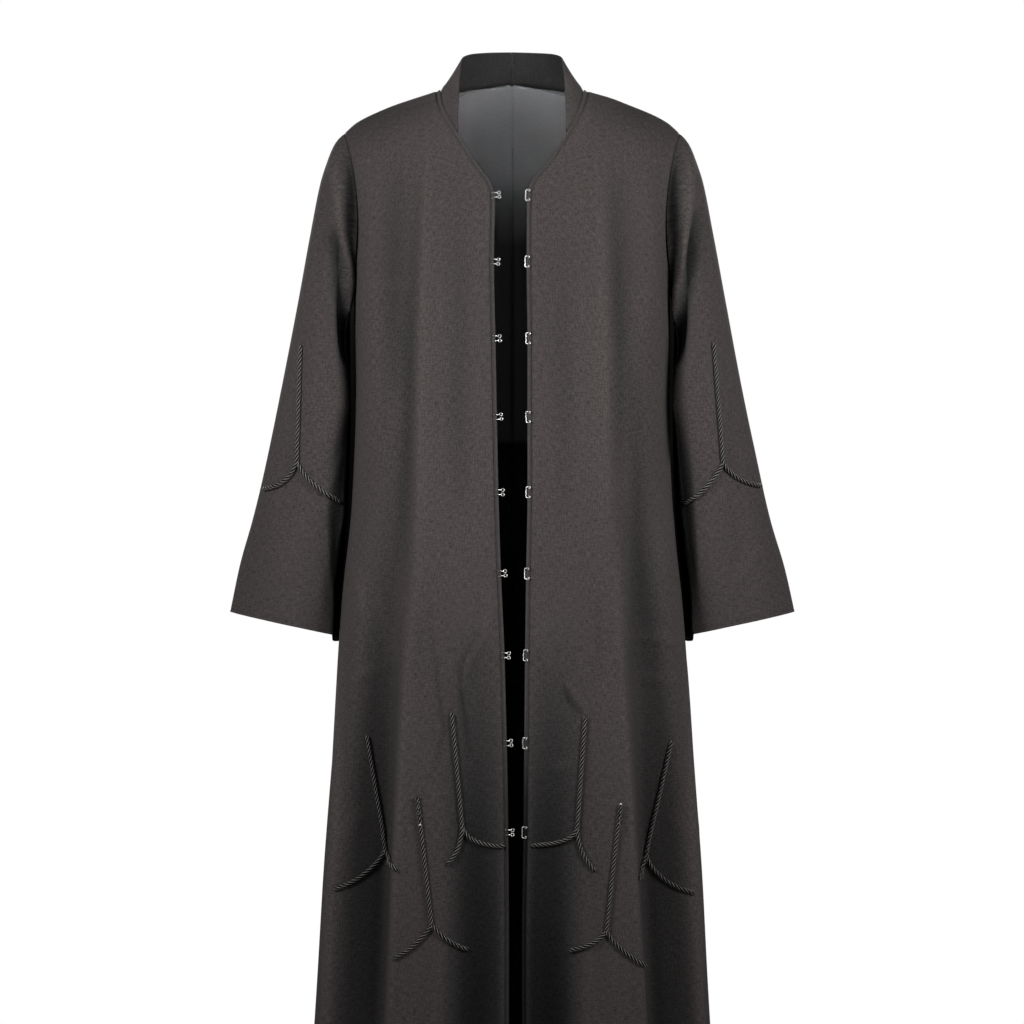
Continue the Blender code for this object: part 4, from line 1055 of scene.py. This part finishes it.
# %% The collar's two halves
COLLAR_SHARES = np.concatenate(([0.0003, 0.0012, 0.0028, 0.005, 0.009], np.linspace(0.014, 0.99, 110), [0.996, 1]))
COLLAR_SWELL, COLLAR_GRAIN, COLLAR_PAINTED_SHADE, FIRST_INSIDE, DRAWN_IN = 1.1, (34, 34, 60), -0.3, 13, 0.9
MIDDLE_FADE, EDGE_FADE, OUTSIDE = 12, 14, -0.5
for side, sign in SIDES.items():
    base, way, height = collar_edges(side, COLLAR_SHARES)
    out = unit(np.cross(np.gradient(base, axis=0), way))
    out = out * np.sign(np.sum(out * base * (1, 1, 0), -1)).reshape(-1, 1)
    up, lift = collar_ring(height)
    from_middle = spread(base, 0)
    lift = (lift - rolled(from_middle)[:, None] * np.sign(lift + COLLAR_ROLL)
            - rolled(np.maximum(up, COLLAR_GAP)) * (lift > OUTSIDE))
    points = base[:, None] + way[:, None] * up[..., None] + out[:, None] * lift[..., None]
    swell = unevenness(points, COLLAR_SWELL, COLLAR_GRAIN, 14 + sign) * eased(from_middle / MIDDLE_FADE)[:, None]
    points = points + out[:, None] * (swell * eased(up / EDGE_FADE))[..., None]
    points[0] = points[0] - out[0] * (lift[0] + COLLAR_THICK / 2)[:, None]
    points[0, :, 0] = 0
    points[-1] = points[-1] * (1 - DRAWN_IN) + points[-1].mean(0) * DRAWN_IN
    name = f"cloth_collar_{side}"
    # The whole collar is dimmed a little with painted shade.
    mesh = grid_mesh(name, points, closed=True, painted_tone=COLLAR_PAINTED_SHADE)
    area = float((height * np.gradient(from_middle)).sum()) * MM * MM
    sewn(name, mesh, CLOTH_LOOK, (f"collar_{side}",),
         {"flat": (from_middle[-1] * MM, height.max() * MM), "area": area}, lambda spot: (0, 0, spot.z))
    # The collar's inner faces take the darker copy of the cloth as painted shade.
    mesh.materials.append(SHADED_INSIDE_LOOK)
    inside = [int(k % points.shape[1] >= FIRST_INSIDE) for k in range(len(mesh.polygons))]
    mesh.polygons.foreach_set("material_index", inside)

# %% [markdown]
# The lining hangs free inside the back. It is caught in at the neck, where a little fullness is eased into the seam
# and stands up in small puckers, and lower down it only ripples. A pucker has a width and falls away downwards. All of
# that goes inwards, away from the back's own cloth.

# %% The back lining
CLOTH_SOLID, LINING_EASE, LINING_REACH, LINING_THICK = 1.4, 0.9, 0.94, 0.6
RIPPLE_BASE, RIPPLE, RIPPLE_GRAIN, PUCKER, PINCH = 3.0, 2.4, (24, 25, 170), 0.8, 0.9
PUCKERS, PUCKER_STEP, PUCKER_DRIFT = ((1.9, 9), (3.3, 16), (6.1, 34)), 4, 31
NECK_FADE, MIDDLE_EASE, PUCKER_SHIFT = 12, 5, 2.7
LINING_ROWS = np.concatenate((np.linspace(0.004, 1, 70)[:-1],
                              1 + np.linspace(0, (LINING_END - UNDERARM) / (HEM - UNDERARM), 36)))
for side, sign in SIDES.items():
    points = panel_points(back, side, LINING_ROWS, 96, reach=LINING_REACH)
    out = normals_of(points, body_centre(points))
    across, down = spread(points, 1), spread(points, 0)
    puckers = [(k + 1) * (np.sin(across / width + sign * PUCKER_SHIFT * k + 0.7 * np.sin(across / PUCKER_DRIFT))
                          * np.exp(-((down - PUCKER_STEP * k) / fall) ** 2))
               for k, (width, fall) in enumerate(PUCKERS)]
    ripples = (RIPPLE_BASE + unevenness(points, RIPPLE, RIPPLE_GRAIN, 21)) * (0.15 + 0.85 * eased(down / NECK_FADE))
    inwards = ripples + PUCKER * eased(across / MIDDLE_EASE) * sum(puckers) - PINCH * rolled(across)
    points = points - out * (CLOTH_SOLID + LINING_EASE + np.maximum(inwards, 0))[..., None]
    name = f"satin_lining_{side}"
    sewn(name, grid_mesh(name, points), SATIN_LOOK, (f"lining_{side}",), cut(points), thickness=LINING_THICK)

# %% [markdown]
# The piping is a strip of the same cloth folded over a fine cord and sewn into the edge. Its section is a small dome
# that stands proud of the panel, with a flat seam allowance under it. The section is swept down the edge, always
# square to it, so that it keeps its width round the neck. Low down it lies in the shade of the opening, and that
# shade is painted into its colour, more so on the left.

# %% The piping
PIPING_DOME = ((0.0, -1.3), (0.0, 0.0), (0.2, 0.75), (0.75, 1.3), (1.5, 1.5), (2.2, 1.3), (2.75, 0.75), (3.05, 0.0),
               (3.2, -0.7), (4.7, -0.8), (4.7, -1.3))
DOME_GROWS, TOP_TUCK, TUCK_FADES, PIPING_SWELL, PIPING_WAVES = 40, 1.5, 9, 0.18, (7.3, 2.9)
LOW_PAINTED_SHADE, LOW_PAINTED_SHADE_MORE, LOW_FROM, LOW_RUN = -1.4, -0.5, -720, 170


def edge_lines(side, rows):
    """Down a front's edge: its points, the way along it and the way straight out of the cloth."""
    step = 0.002
    ends = [front(side, 0 * rows, np.clip(rows + s, 0, 2)) for s in (-step, step)]
    edge, along = front(side, 0 * rows, rows), unit(ends[1] - ends[0])
    beside = front(side, 0 * rows + 0.01, rows) - edge
    out = unit(np.cross(along, beside)) * SIDES[side]
    return edge, along, out * -np.sign(out[:, 1:2] - 0.2)


for side, sign in SIDES.items():
    edge, along, out = edge_lines(side, ROWS)
    inward = unit(np.cross(along, out))
    inward = inward * np.sign(inward[:, :1] * sign)
    across, lift = np.array(PIPING_DOME).T
    points = edge[:, None] + inward[:, None] * across[:, None] + out[:, None] * lift[:, None]
    down = spread(edge[:, None], 0)
    pressed = np.maximum(lift, 0) * (1 - eased((down + 3) / DOME_GROWS)) + TOP_TUCK * (1 - eased(down / TUCK_FADES))
    points = points - out[:, None] * pressed[..., None]
    long, short = (np.sin(down / wave) for wave in PIPING_WAVES)
    points = points + out[:, None] * (PIPING_SWELL * long * short)[..., None]
    name = f"piping_{side}"
    # Painted shade on the piping, darker low down and more so on the left.
    painted_shade = (LOW_PAINTED_SHADE + LOW_PAINTED_SHADE_MORE * sign) * eased((LOW_FROM - points[..., 2]) / LOW_RUN)
    mesh = grid_mesh(name, points, closed=True, painted_tone=painted_shade)
    face_out(mesh, body_middle)
    trims[f"cloth_front_{side}"].append(shown(name, mesh, PIPING_LOOK, (f"edge_band_{side}",)))
    print(name, "length", round(float(down[-1, 0]) * MM, 3), "m")

# %% [markdown]
# ## Ropes, wires and threads
# A round thing along a line needs a direction to measure its roundness from. A strand of a rope turns about the
# rope's own line, and there the way out from that line serves. A bent wire has no such line, so its direction is
# carried from point to point and only ever tilts with the wire. Both become the same tube, closed at its two ends.

# %% Tubes along lines
def picked(line, lengths, wanted):
    """A line's places at the wanted lengths along it."""
    return np.stack([np.interp(wanted, lengths, values) for values in line.T], -1)


def evenly(line, step):
    """A line's points, spaced evenly."""
    line = np.asarray(line, float)
    done = spread(line, 0)
    return picked(line, done, np.linspace(0, done[-1], max(4, round(done[-1] / step))))


def tube_parts(line, first, radius, sides):
    """Rings of points around a line. The radius may change along it."""
    tangent = unit(np.gradient(line, axis=0))
    across = unit(first - np.sum(first * tangent, -1, keepdims=True) * tangent)
    turn = np.linspace(0, 2 * np.pi, sides, endpoint=False)[:, None]
    ring = np.cos(turn) * across[:, None] + np.sin(turn) * np.cross(tangent, across)[:, None]
    return line[:, None] + ring * np.broadcast_to(radius, len(line))[:, None, None]


def carried(line, first):
    """A direction carried along a line without twisting."""
    ways, way = [], np.array(first, float)
    for t in unit(np.gradient(line, axis=0)):
        way = unit(way - (way @ t) * t)
        ways.append(way)
    return np.array(ways)


def joined(name, rings):
    """One mesh of many closed tubes, with the Cloth map along and around each."""
    points, faces, mapped, before = [], [], [], 0
    for ring in rings:
        rows, sides = ring.shape[:2]
        index = before + np.arange(rows * sides).reshape(rows, sides)
        length = spread(ring, 0)[:, :1] + np.zeros(sides + 1)
        girth = np.linspace(0, 1, sides + 1) * length_of(ring[:, 0] - ring[:, sides // 2]).max() * np.pi
        flat = np.stack((girth + 0 * length, length), -1)
        faces += cells(looped(index), ROUND).tolist() + [index[0][::-1].tolist(), index[-1].tolist()]
        mapped += [cells(flat, ROUND).reshape(-1, 2), np.zeros((2 * sides, 2))]
        points.append(ring.reshape(-1, 3))
        before += rows * sides
    return mesh_of(name, np.concatenate(points), faces, np.concatenate(mapped))


print("a straight 100 mm in steps of 7 mm has", len(evenly([(0, 0), (100, 0)], 7)), "points")

# %% [markdown]
# The cords are couched: laid on the cloth and caught down from behind, so each follows the cloth's own rise and fall.
# Its route is drawn flat, as seen from the front, and dropped onto the finished cloth. Four strands then wind round
# that line. Their ends are bound, so the strands close in and round off.

# %% Where the cords go
Motif = namedtuple("Motif", "top fork main_turn main_end branch_turn branch_end")
MOTIFS = {
    "sleeve_right": Motif((-250, -305), (-255, -444), (-264, -474), (-296, -477), (-245, -469), (-206, -492)),
    "sleeve_left": Motif((238, -302), (250, -446), (264, -469), (297, -473), (231, -481), (207, -494)),
    "inner_right": Motif((-70, -738), (-58.5, -869), (-53, -892), (-9.5, -892), (-59, -898), (-76, -913)),
    "inner_left": Motif((85, -742), (76, -871), (73, -891), (22, -891), (76, -900), (97, -922)),
    "middle_right": Motif((-110, -835), (-92.5, -983), (-106, -1007), (-137, -1023), (-76, -1006), (-51, -1012)),
    "middle_left": Motif((126, -844), (109, -991), (121.5, -1012), (153, -1031), (96, -1008), (67, -1013)),
    "outer_right": Motif((-171, -767), (-149, -902), (-169, -935), (-209, -949), (-142, -914), (-133, -921)),
    "outer_left": Motif((187.6, -774), (158, -909), (172, -942), (215, -954), (153.5, -918), (147, -931)),
}
BEND_POINTS, STEM_POINTS, SMOOTHINGS = 40, 30, 6


def panel_of(name):
    return name if "sleeve" in name else "front_" + name.split("_")[1]


def bend(start, turn, end):
    """A bend that leaves its start towards its turn."""
    t = np.linspace(0, 1, BEND_POINTS)[:, None]
    return (1 - t) ** 2 * np.array(start) + 2 * t * (1 - t) * np.array(turn) + t * t * np.array(end)


def skin(points, closed):
    """A grid's faces, to drop things onto."""
    mesh = grid_mesh("skin", points, closed)
    tree = BVHTree.FromPolygons([v.co.copy() for v in mesh.vertices], [tuple(f.vertices) for f in mesh.polygons])
    bpy.data.meshes.remove(mesh)
    return tree


def softened(line):
    """A line's inner points, each drawn towards its two neighbours."""
    line[1:-1] = (line[:-2] + line[1:-1] * 2 + line[2:]) / 4
    return line


def dropped(places, tree):
    """Points on the cloth below flat places, with the cloth's smooth direction out."""
    points, outs = [], []
    for x, z in places:
        hit, normal = tree.ray_cast(Vector((x, -1000, z)) * MM, Vector((0, 1, 0)))[:2]
        points.append(np.array(hit) / MM)
        outs.append(np.array(normal) * (1 if normal.y < 0 else -1))
    outs = np.array(outs)
    for _ in range(SMOOTHINGS):
        outs = softened(outs)
    return np.array(points), unit(outs)


SKINS = {name.removeprefix("cloth_"): skin(moved, "sleeve" in name) for name, (moved, _) in grids.items()
         if "back" not in name}
print(len(MOTIFS), "motifs on", len(SKINS), "panels")

# %% Twist the cords
CORD_RADIUS, STRAND_RADIUS, STRAND_OFFSET, LAY, STRANDS = 2.55, 1.04, 1.5, 22.0, 4
CORD_STEP, CORD_NUDGE, CLOSING, BRANCH_START = 1.1, 0.1, 2.6, 5.0


def twisted(line, out, start):
    """The strands of a cord, as tubes."""
    done = spread(line, 0)
    beside = unit(np.cross(unit(np.gradient(line, axis=0)), out))
    near_end = np.minimum(done + 0.35, done[-1] - done + 0.35)
    snug = np.sqrt(np.clip(near_end / CLOSING, 0, 1))
    strands = []
    for k in range(STRANDS):
        turn = 2 * np.pi * ((done + start) / LAY + k / STRANDS)[:, None]
        way = np.cos(turn) * out + np.sin(turn) * beside
        strands.append(tube_parts(line + way * STRAND_OFFSET * snug[:, None], way, STRAND_RADIUS * snug, 8))
    return strands


for name, motif in MOTIFS.items():
    stem = [np.array(motif.top) * (1 - t) + np.array(motif.fork) * t for t in np.linspace(0, 1, STEM_POINTS)[:-1]]
    routes = (np.concatenate((stem, bend(motif.fork, motif.main_turn, motif.main_end))),
              bend(motif.fork, motif.branch_turn, motif.branch_end))
    rings = []
    for number, route in enumerate(routes):
        spot, out = dropped(evenly(route, CORD_STEP), SKINS[panel_of(name)])
        line = evenly(spot + out * (CORD_RADIUS + CORD_NUDGE), CORD_STEP)
        out = picked(out, np.linspace(0, 1, len(out)), np.linspace(0, 1, len(line)))
        rings += twisted(line, unit(out), BRANCH_START * number)
    nodes = f"cord_{name}_main", f"cord_{name}_branch"
    piece = shown(f"cord_{name}", joined(f"cord_{name}", rings), CORD_LOOK, nodes)
    trims["cloth_" + panel_of(name)].append(piece)
    print(f"cord_{name}", len(rings), "strands")

# %% [markdown]
# Small beads sit on the tops of the middle motifs' stems. A bead is drawn as a turner would cut it: half of its
# section, swept once round, with its hole through the middle. A plain ball would have nowhere for the thread to go.

# %% Beads
BEAD_SECTION = ((0.35, -0.75), (0.7, -1.0), (1.15, -0.98), (1.5, -0.65), (1.64, 0.0), (1.5, 0.65), (1.15, 0.98),
                (0.7, 1.0), (0.35, 0.75))
BEADS = {"middle_right": ((0, 7, 14, 21, 27), 33), "middle_left": ((5, 11, 17, 23), 0)}
BEAD_SIDES, BEAD_LIFT, BEAD_LEAN = 18, 0.8, (0, -1.5, 0)


def bead_mesh(name, spots, alongs, outs):
    """Turned beads, each at a spot, with its hole along a way."""
    section, turn = np.array(BEAD_SECTION), np.linspace(0, 2 * np.pi, BEAD_SIDES, endpoint=False)[:, None]
    points, faces = [], []
    for number, (spot, along, out) in enumerate(zip(spots, alongs, outs)):
        spokes = np.cos(turn) * out + np.sin(turn) * np.cross(along, out)
        points.append(spot + section[:, :1, None] * spokes + section[:, 1:, None] * along)
        index = np.arange(len(section) * BEAD_SIDES).reshape(-1, BEAD_SIDES) + number * len(section) * BEAD_SIDES
        faces += cells(looped(np.concatenate((index, index[:1]))), ROUND).tolist()
    return mesh_of(name, np.array(points), faces)


for name, (dark, bright) in BEADS.items():
    motif = MOTIFS[name]
    top, fork = np.array(motif.top, float), np.array(motif.fork, float)
    way = (fork - top) / np.linalg.norm(fork - top)
    for kind, finish, chosen in (("dark", BEAD_LOOK, dark), ("bright", PEARL_LOOK, [bright])):
        spots, out = dropped([top + way * d for d in chosen] + [fork], SKINS[panel_of(name)])
        flat_way = np.array((way[0], 0, way[1]))
        along = unit(flat_way - out * np.sum(out * flat_way, -1, keepdims=True))
        lifted = spots + out * CORD_RADIUS + unit(out + BEAD_LEAN) * (CORD_RADIUS + BEAD_LIFT)
        mesh = bead_mesh(f"beads_{kind}_{name}", lifted[:-1], along, out)
        trims["cloth_" + panel_of(name)].append(shown(mesh.name, mesh, finish, ()))
        print(mesh.name, len(chosen))

# %% [markdown]
# A hook is one bent wire. Its two ends curl into rings that stand in the gap, its two legs lie over the piping, and
# the rest goes through the seam and joins behind it. An eye is a bar that stands into the gap, with its ends curled
# on the piping. Each wire is a list of places, as into the gap, up and off the cloth, smoothed like a real bend. No
# two are sewn on quite alike, so each is turned a little in its own plane.

# %% Bent wires
WIRE_RADIUS, RING_RADIUS, RING_UP, WIRE_STEP = 0.62, 1.8, 2.6, 0.35


def ring_of(centre, radius, start, end, off):
    turn = np.radians(np.linspace(start, end, 18))
    return [(centre[0] + radius * math.cos(t), centre[1] + radius * math.sin(t), o)
            for t, o in zip(turn, np.linspace(*off, len(turn)))]


def mirrored(half):
    return half + [(x, -up, off) for x, up, off in reversed(half)]


HOOK_WIRE = mirrored(ring_of((5.0, RING_UP), RING_RADIUS, -150, 190, (0.1, 1.0)) + [
    (1.6, RING_UP + 0.1, 1.5), (0.2, RING_UP + 0.2, 2.1), (-1.4, RING_UP + 0.4, 2.4), (-2.6, RING_UP + 0.5, 1.7),
    (-3.4, RING_UP + 0.6, 0.0), (-3.8, RING_UP + 0.4, -2.2), (-4.0, RING_UP - 0.8, -3.0), (-4.0, 0.4, -3.1)])
EYE_WIRE = mirrored(ring_of((-2.1, 5.6), 1.15, -60, -330, (2.2, 1.9)) + [
    (-0.4, 6.3, 1.7), (0.9, 6.4, 1.0), (1.6, 5.7, 0.7), (1.9, 4.2, 0.6), (1.4, 2.6, 0.6), (1.4, 1.6, 0.6),
    (1.9, 0.4, 0.6)])


def on_edge(side, height, wire, degrees, passes=3):
    """A wire's places, turned a little, set on a front's edge at a height and softly bent."""
    share = (height - SHOULDER) / (UNDERARM - SHOULDER)
    if height < UNDERARM:
        share = 1 + (height - UNDERARM) / (HEM - UNDERARM)
    c, s = math.cos(math.radians(degrees)), math.sin(math.radians(degrees))
    turned = np.array([(x * c - up * s, x * s + up * c, off) for x, up, off in wire])
    edge, along, out = (v[0] for v in edge_lines(side, np.array([share])))
    into = unit(np.cross(along, out))
    into = into * -np.sign(into[0] * SIDES[side])
    line = evenly(edge + turned @ np.array((into, -along, out)), WIRE_STEP)
    for _ in range(passes):
        line = softened(line)
    return line


print("a hook's wire has", len(HOOK_WIRE), "places and an eye's", len(EYE_WIRE))

# %% Hooks and eyes
FASTENINGS = (-133, -211, -301, -393, -481, -576, -671, -773, -876)
TURNS = (2, -3, 1, 4, -2, 3, -4, 2, -1)
THREAD_RADIUS, LOOP_PLACES = 0.2, (-1.9, -1.3, -0.7)


def over(x, up):
    """A loop of thread over a wire."""
    turn = np.radians(np.linspace(-20, 200, 9))
    return [(x + 0.12 * math.sin(3 * t), up + 0.9 * math.cos(t), 1.6 + 1.55 * math.sin(t)) for t in turn]


loops = [over(x, up * (RING_UP + 0.4)) for x in LOOP_PLACES for up in (1, -1)]
for number, (height, lean) in enumerate(zip(FASTENINGS, TURNS), 1):
    for kind, side, wire, turned in (("hook", "right", HOOK_WIRE, lean), ("eye", "left", EYE_WIRE, -lean / 2)):
        line = on_edge(side, height, wire, turned)
        mesh = joined(f"{kind}_wire_{number}", [tube_parts(line, carried(line, (0.3, -1, 0.2)), WIRE_RADIUS, 10)])
        shown(mesh.name, mesh, WIRE_LOOK, (f"{kind}_{number}",))
    lines = [on_edge("right", height, loop, lean, passes=1) for loop in loops]
    threads = [tube_parts(line, carried(line, (1, 0.2, 0.1)), THREAD_RADIUS, 6) for line in lines]
    shown(f"hook_thread_{number}", joined(f"hook_thread_{number}", threads), THREAD_LOOK, ())
print(len(FASTENINGS), "hooks and eyes,", len(loops), "loops of thread on each hook")

# %% [markdown]
# Stitches are what the eye finds at a cuff. A row of them is a line of short threads that dive into the cloth at
# both ends. The row keeps its distance from the edge, so it is looked up along each column of the finished cloth.

# %% Rows of stitches
STITCH_RADIUS, STITCH_POINTS, STITCH_RISE, STITCH_SINK = 0.24, 6, 0.42, 0.3
CUFF_STITCHES, HEM_STITCHES = (3.1, 2.3), (5.2, 2.4)


def stitches(line, ways, pitch, length):
    """Threads of a length, one each pitch along a line."""
    done = spread(line, 0)
    arch = np.sqrt(np.sin(np.linspace(0, np.pi, STITCH_POINTS)).clip(0))[:, None] * STITCH_RISE - STITCH_SINK
    rings = []
    for start in np.arange(1, done[-1] - length, pitch):
        at = start + np.linspace(0, length, STITCH_POINTS)
        way = unit(picked(ways, done, at))
        rings.append(tube_parts(picked(line, done, at) + way * arch, way, STITCH_RADIUS, 6))
    return rings


for name, (points, out) in grids.items():
    closed = "sleeve" in name
    rise = CUFF_STITCH if closed else HEM_TURN
    columns = zip(np.moveaxis(points, 1, 0), down_to_end(points).T)
    spots = np.array([picked(column[::-1], up[::-1], rise) for column, up in columns])
    ways = out[-1]
    if closed:
        spots, ways = np.concatenate((spots, spots[:1])), np.concatenate((ways, ways[:1]))
    rings = stitches(spots, ways, *(CUFF_STITCHES if closed else HEM_STITCHES))
    row = name.replace("cloth", "stitches")
    trims[name].append(shown(row, joined(row, rings), THREAD_LOOK, ()))
    print(row, len(rings))

# %% [markdown]
# ## The whole cut
# The sleeves and the body hang from the shoulders, and the collar and the lining from the neck. The flat cuts noted
# for the pieces of cloth add up to the whole cut.

# %% Add up the cloth
for name, (piece, size) in cloths.items():
    kind, side = name.split("_")[1:]
print("whole cut:", round(sum(size["area"] for _, size in cloths.values()), 2), "square metres")

# %% [markdown]
# ## The studio
# The floor is a pale paper disc under the hem. It is small enough to stay below the camera's view, and its fine
# grain only matters in the low views from the side.

# %% The floor
FLOOR_RADIUS, FLOOR_DROP, FLOOR_RINGS, FLOOR_SIDES = 2.2, 12, 12, 72
PAPER_LOOK = clouded("floor_paper", {"Roughness": 0.85}, 60, 3.0, (0, 1), (0.78, 0.775, 0.765), (0.84, 0.835, 0.825),
                     dent=(0.1, 0.5))
rings = np.linspace(0.02, 1, FLOOR_RINGS)[:, None] * FLOOR_RADIUS / MM
turn = np.linspace(0, 2 * np.pi, FLOOR_SIDES, endpoint=False)
disc = place(rings * np.cos(turn), rings * np.sin(turn), HEM - FLOOR_DROP + 0 * rings * turn)
disc[0] = (0, 0, HEM - FLOOR_DROP)
floor = bpy.data.objects.new("floor", grid_mesh("floor", disc, closed=True))
floor.data.materials.append(PAPER_LOOK)
bpy.context.scene.collection.objects.link(floor)
print("the floor is a disc,", 2 * FLOOR_RADIUS, "m across")

# %% [markdown]
# The camera stands where the photograph was taken from: 5 m in front, level, at the middle of the picture's height.
# Two soft boxes stand to the sides at shoulder height, as in a shop's studio, so that the folds shade themselves and
# the inside stays dark. Grids over them keep their light on the chest, so the hem stays dimmer. A small one shines
# straight into the neck and brings out the satin, and two larger ones further off light the back. The camera sees
# white behind the garment, but only a faint grey lights it, because the photograph was cut out onto white.

# %% The camera
eye = bpy.data.cameras.new("photo_camera")
eye.sensor_width, eye.lens = 36.0, 146.5
camera = bpy.data.objects.new("photo_camera", eye)
camera.location = (0, -5, -0.504)
camera.rotation_euler = (math.radians(90), 0, 0)
bpy.context.scene.collection.objects.link(camera)
bpy.context.scene.camera = camera
print("a lens of", round(eye.lens, 1), "mm, from", [round(v, 3) for v in camera.location])

# %% Light
def softbox(name, at, towards, size, watts, beam=180):
    light = bpy.data.lights.new(name, "AREA")
    light.shape, light.size, light.energy, light.spread = "SQUARE", size, watts, math.radians(beam)
    lamp = bpy.data.objects.new(name, light)
    lamp.location = at
    lamp.rotation_euler = (Vector(towards) - Vector(at)).to_track_quat("-Z", "Y").to_euler()
    bpy.context.scene.collection.objects.link(lamp)


for side, sign in SIDES.items():
    softbox(f"key_light_{side}", (1.05 * sign, -1.18, 0.10), (0, 0, -0.4), 0.5, 3.4, 80)
    softbox(f"back_light_{side}", (0.80 * sign, 2.2, 0.30), (0, 0, -0.4), 0.6, 16)
softbox("neck_light", (0, -3.2, 0.25), (0, 0.1, 0.050), 0.12, 0.100, 6.3)
bpy.context.scene.view_settings.view_transform = "Standard"
print("soft boxes:", ", ".join(lamp.name for lamp in bpy.data.lights))

# %% White behind the garment
world = bpy.data.worlds.new("studio")
world.use_nodes = True
bpy.context.scene.world = world
tree = world.node_tree
shade, bright = tree.nodes["Background"], tree.nodes.new("ShaderNodeBackground")
for background, strength in ((shade, 0.12), (bright, 1.0)):
    background.inputs["Color"].default_value = (1, 1, 1, 1)
    background.inputs["Strength"].default_value = strength
either, seen = tree.nodes.new("ShaderNodeMixShader"), tree.nodes.new("ShaderNodeLightPath")
for socket, source in enumerate((seen.outputs["Is Camera Ray"], shade.outputs[0], bright.outputs[0])):
    tree.links.new(source, either.inputs[socket])
tree.links.new(either.outputs[0], tree.nodes["World Output"].inputs[0])
print("the world is seen", round(1 / shade.inputs["Strength"].default_value), "times as bright as it shines")
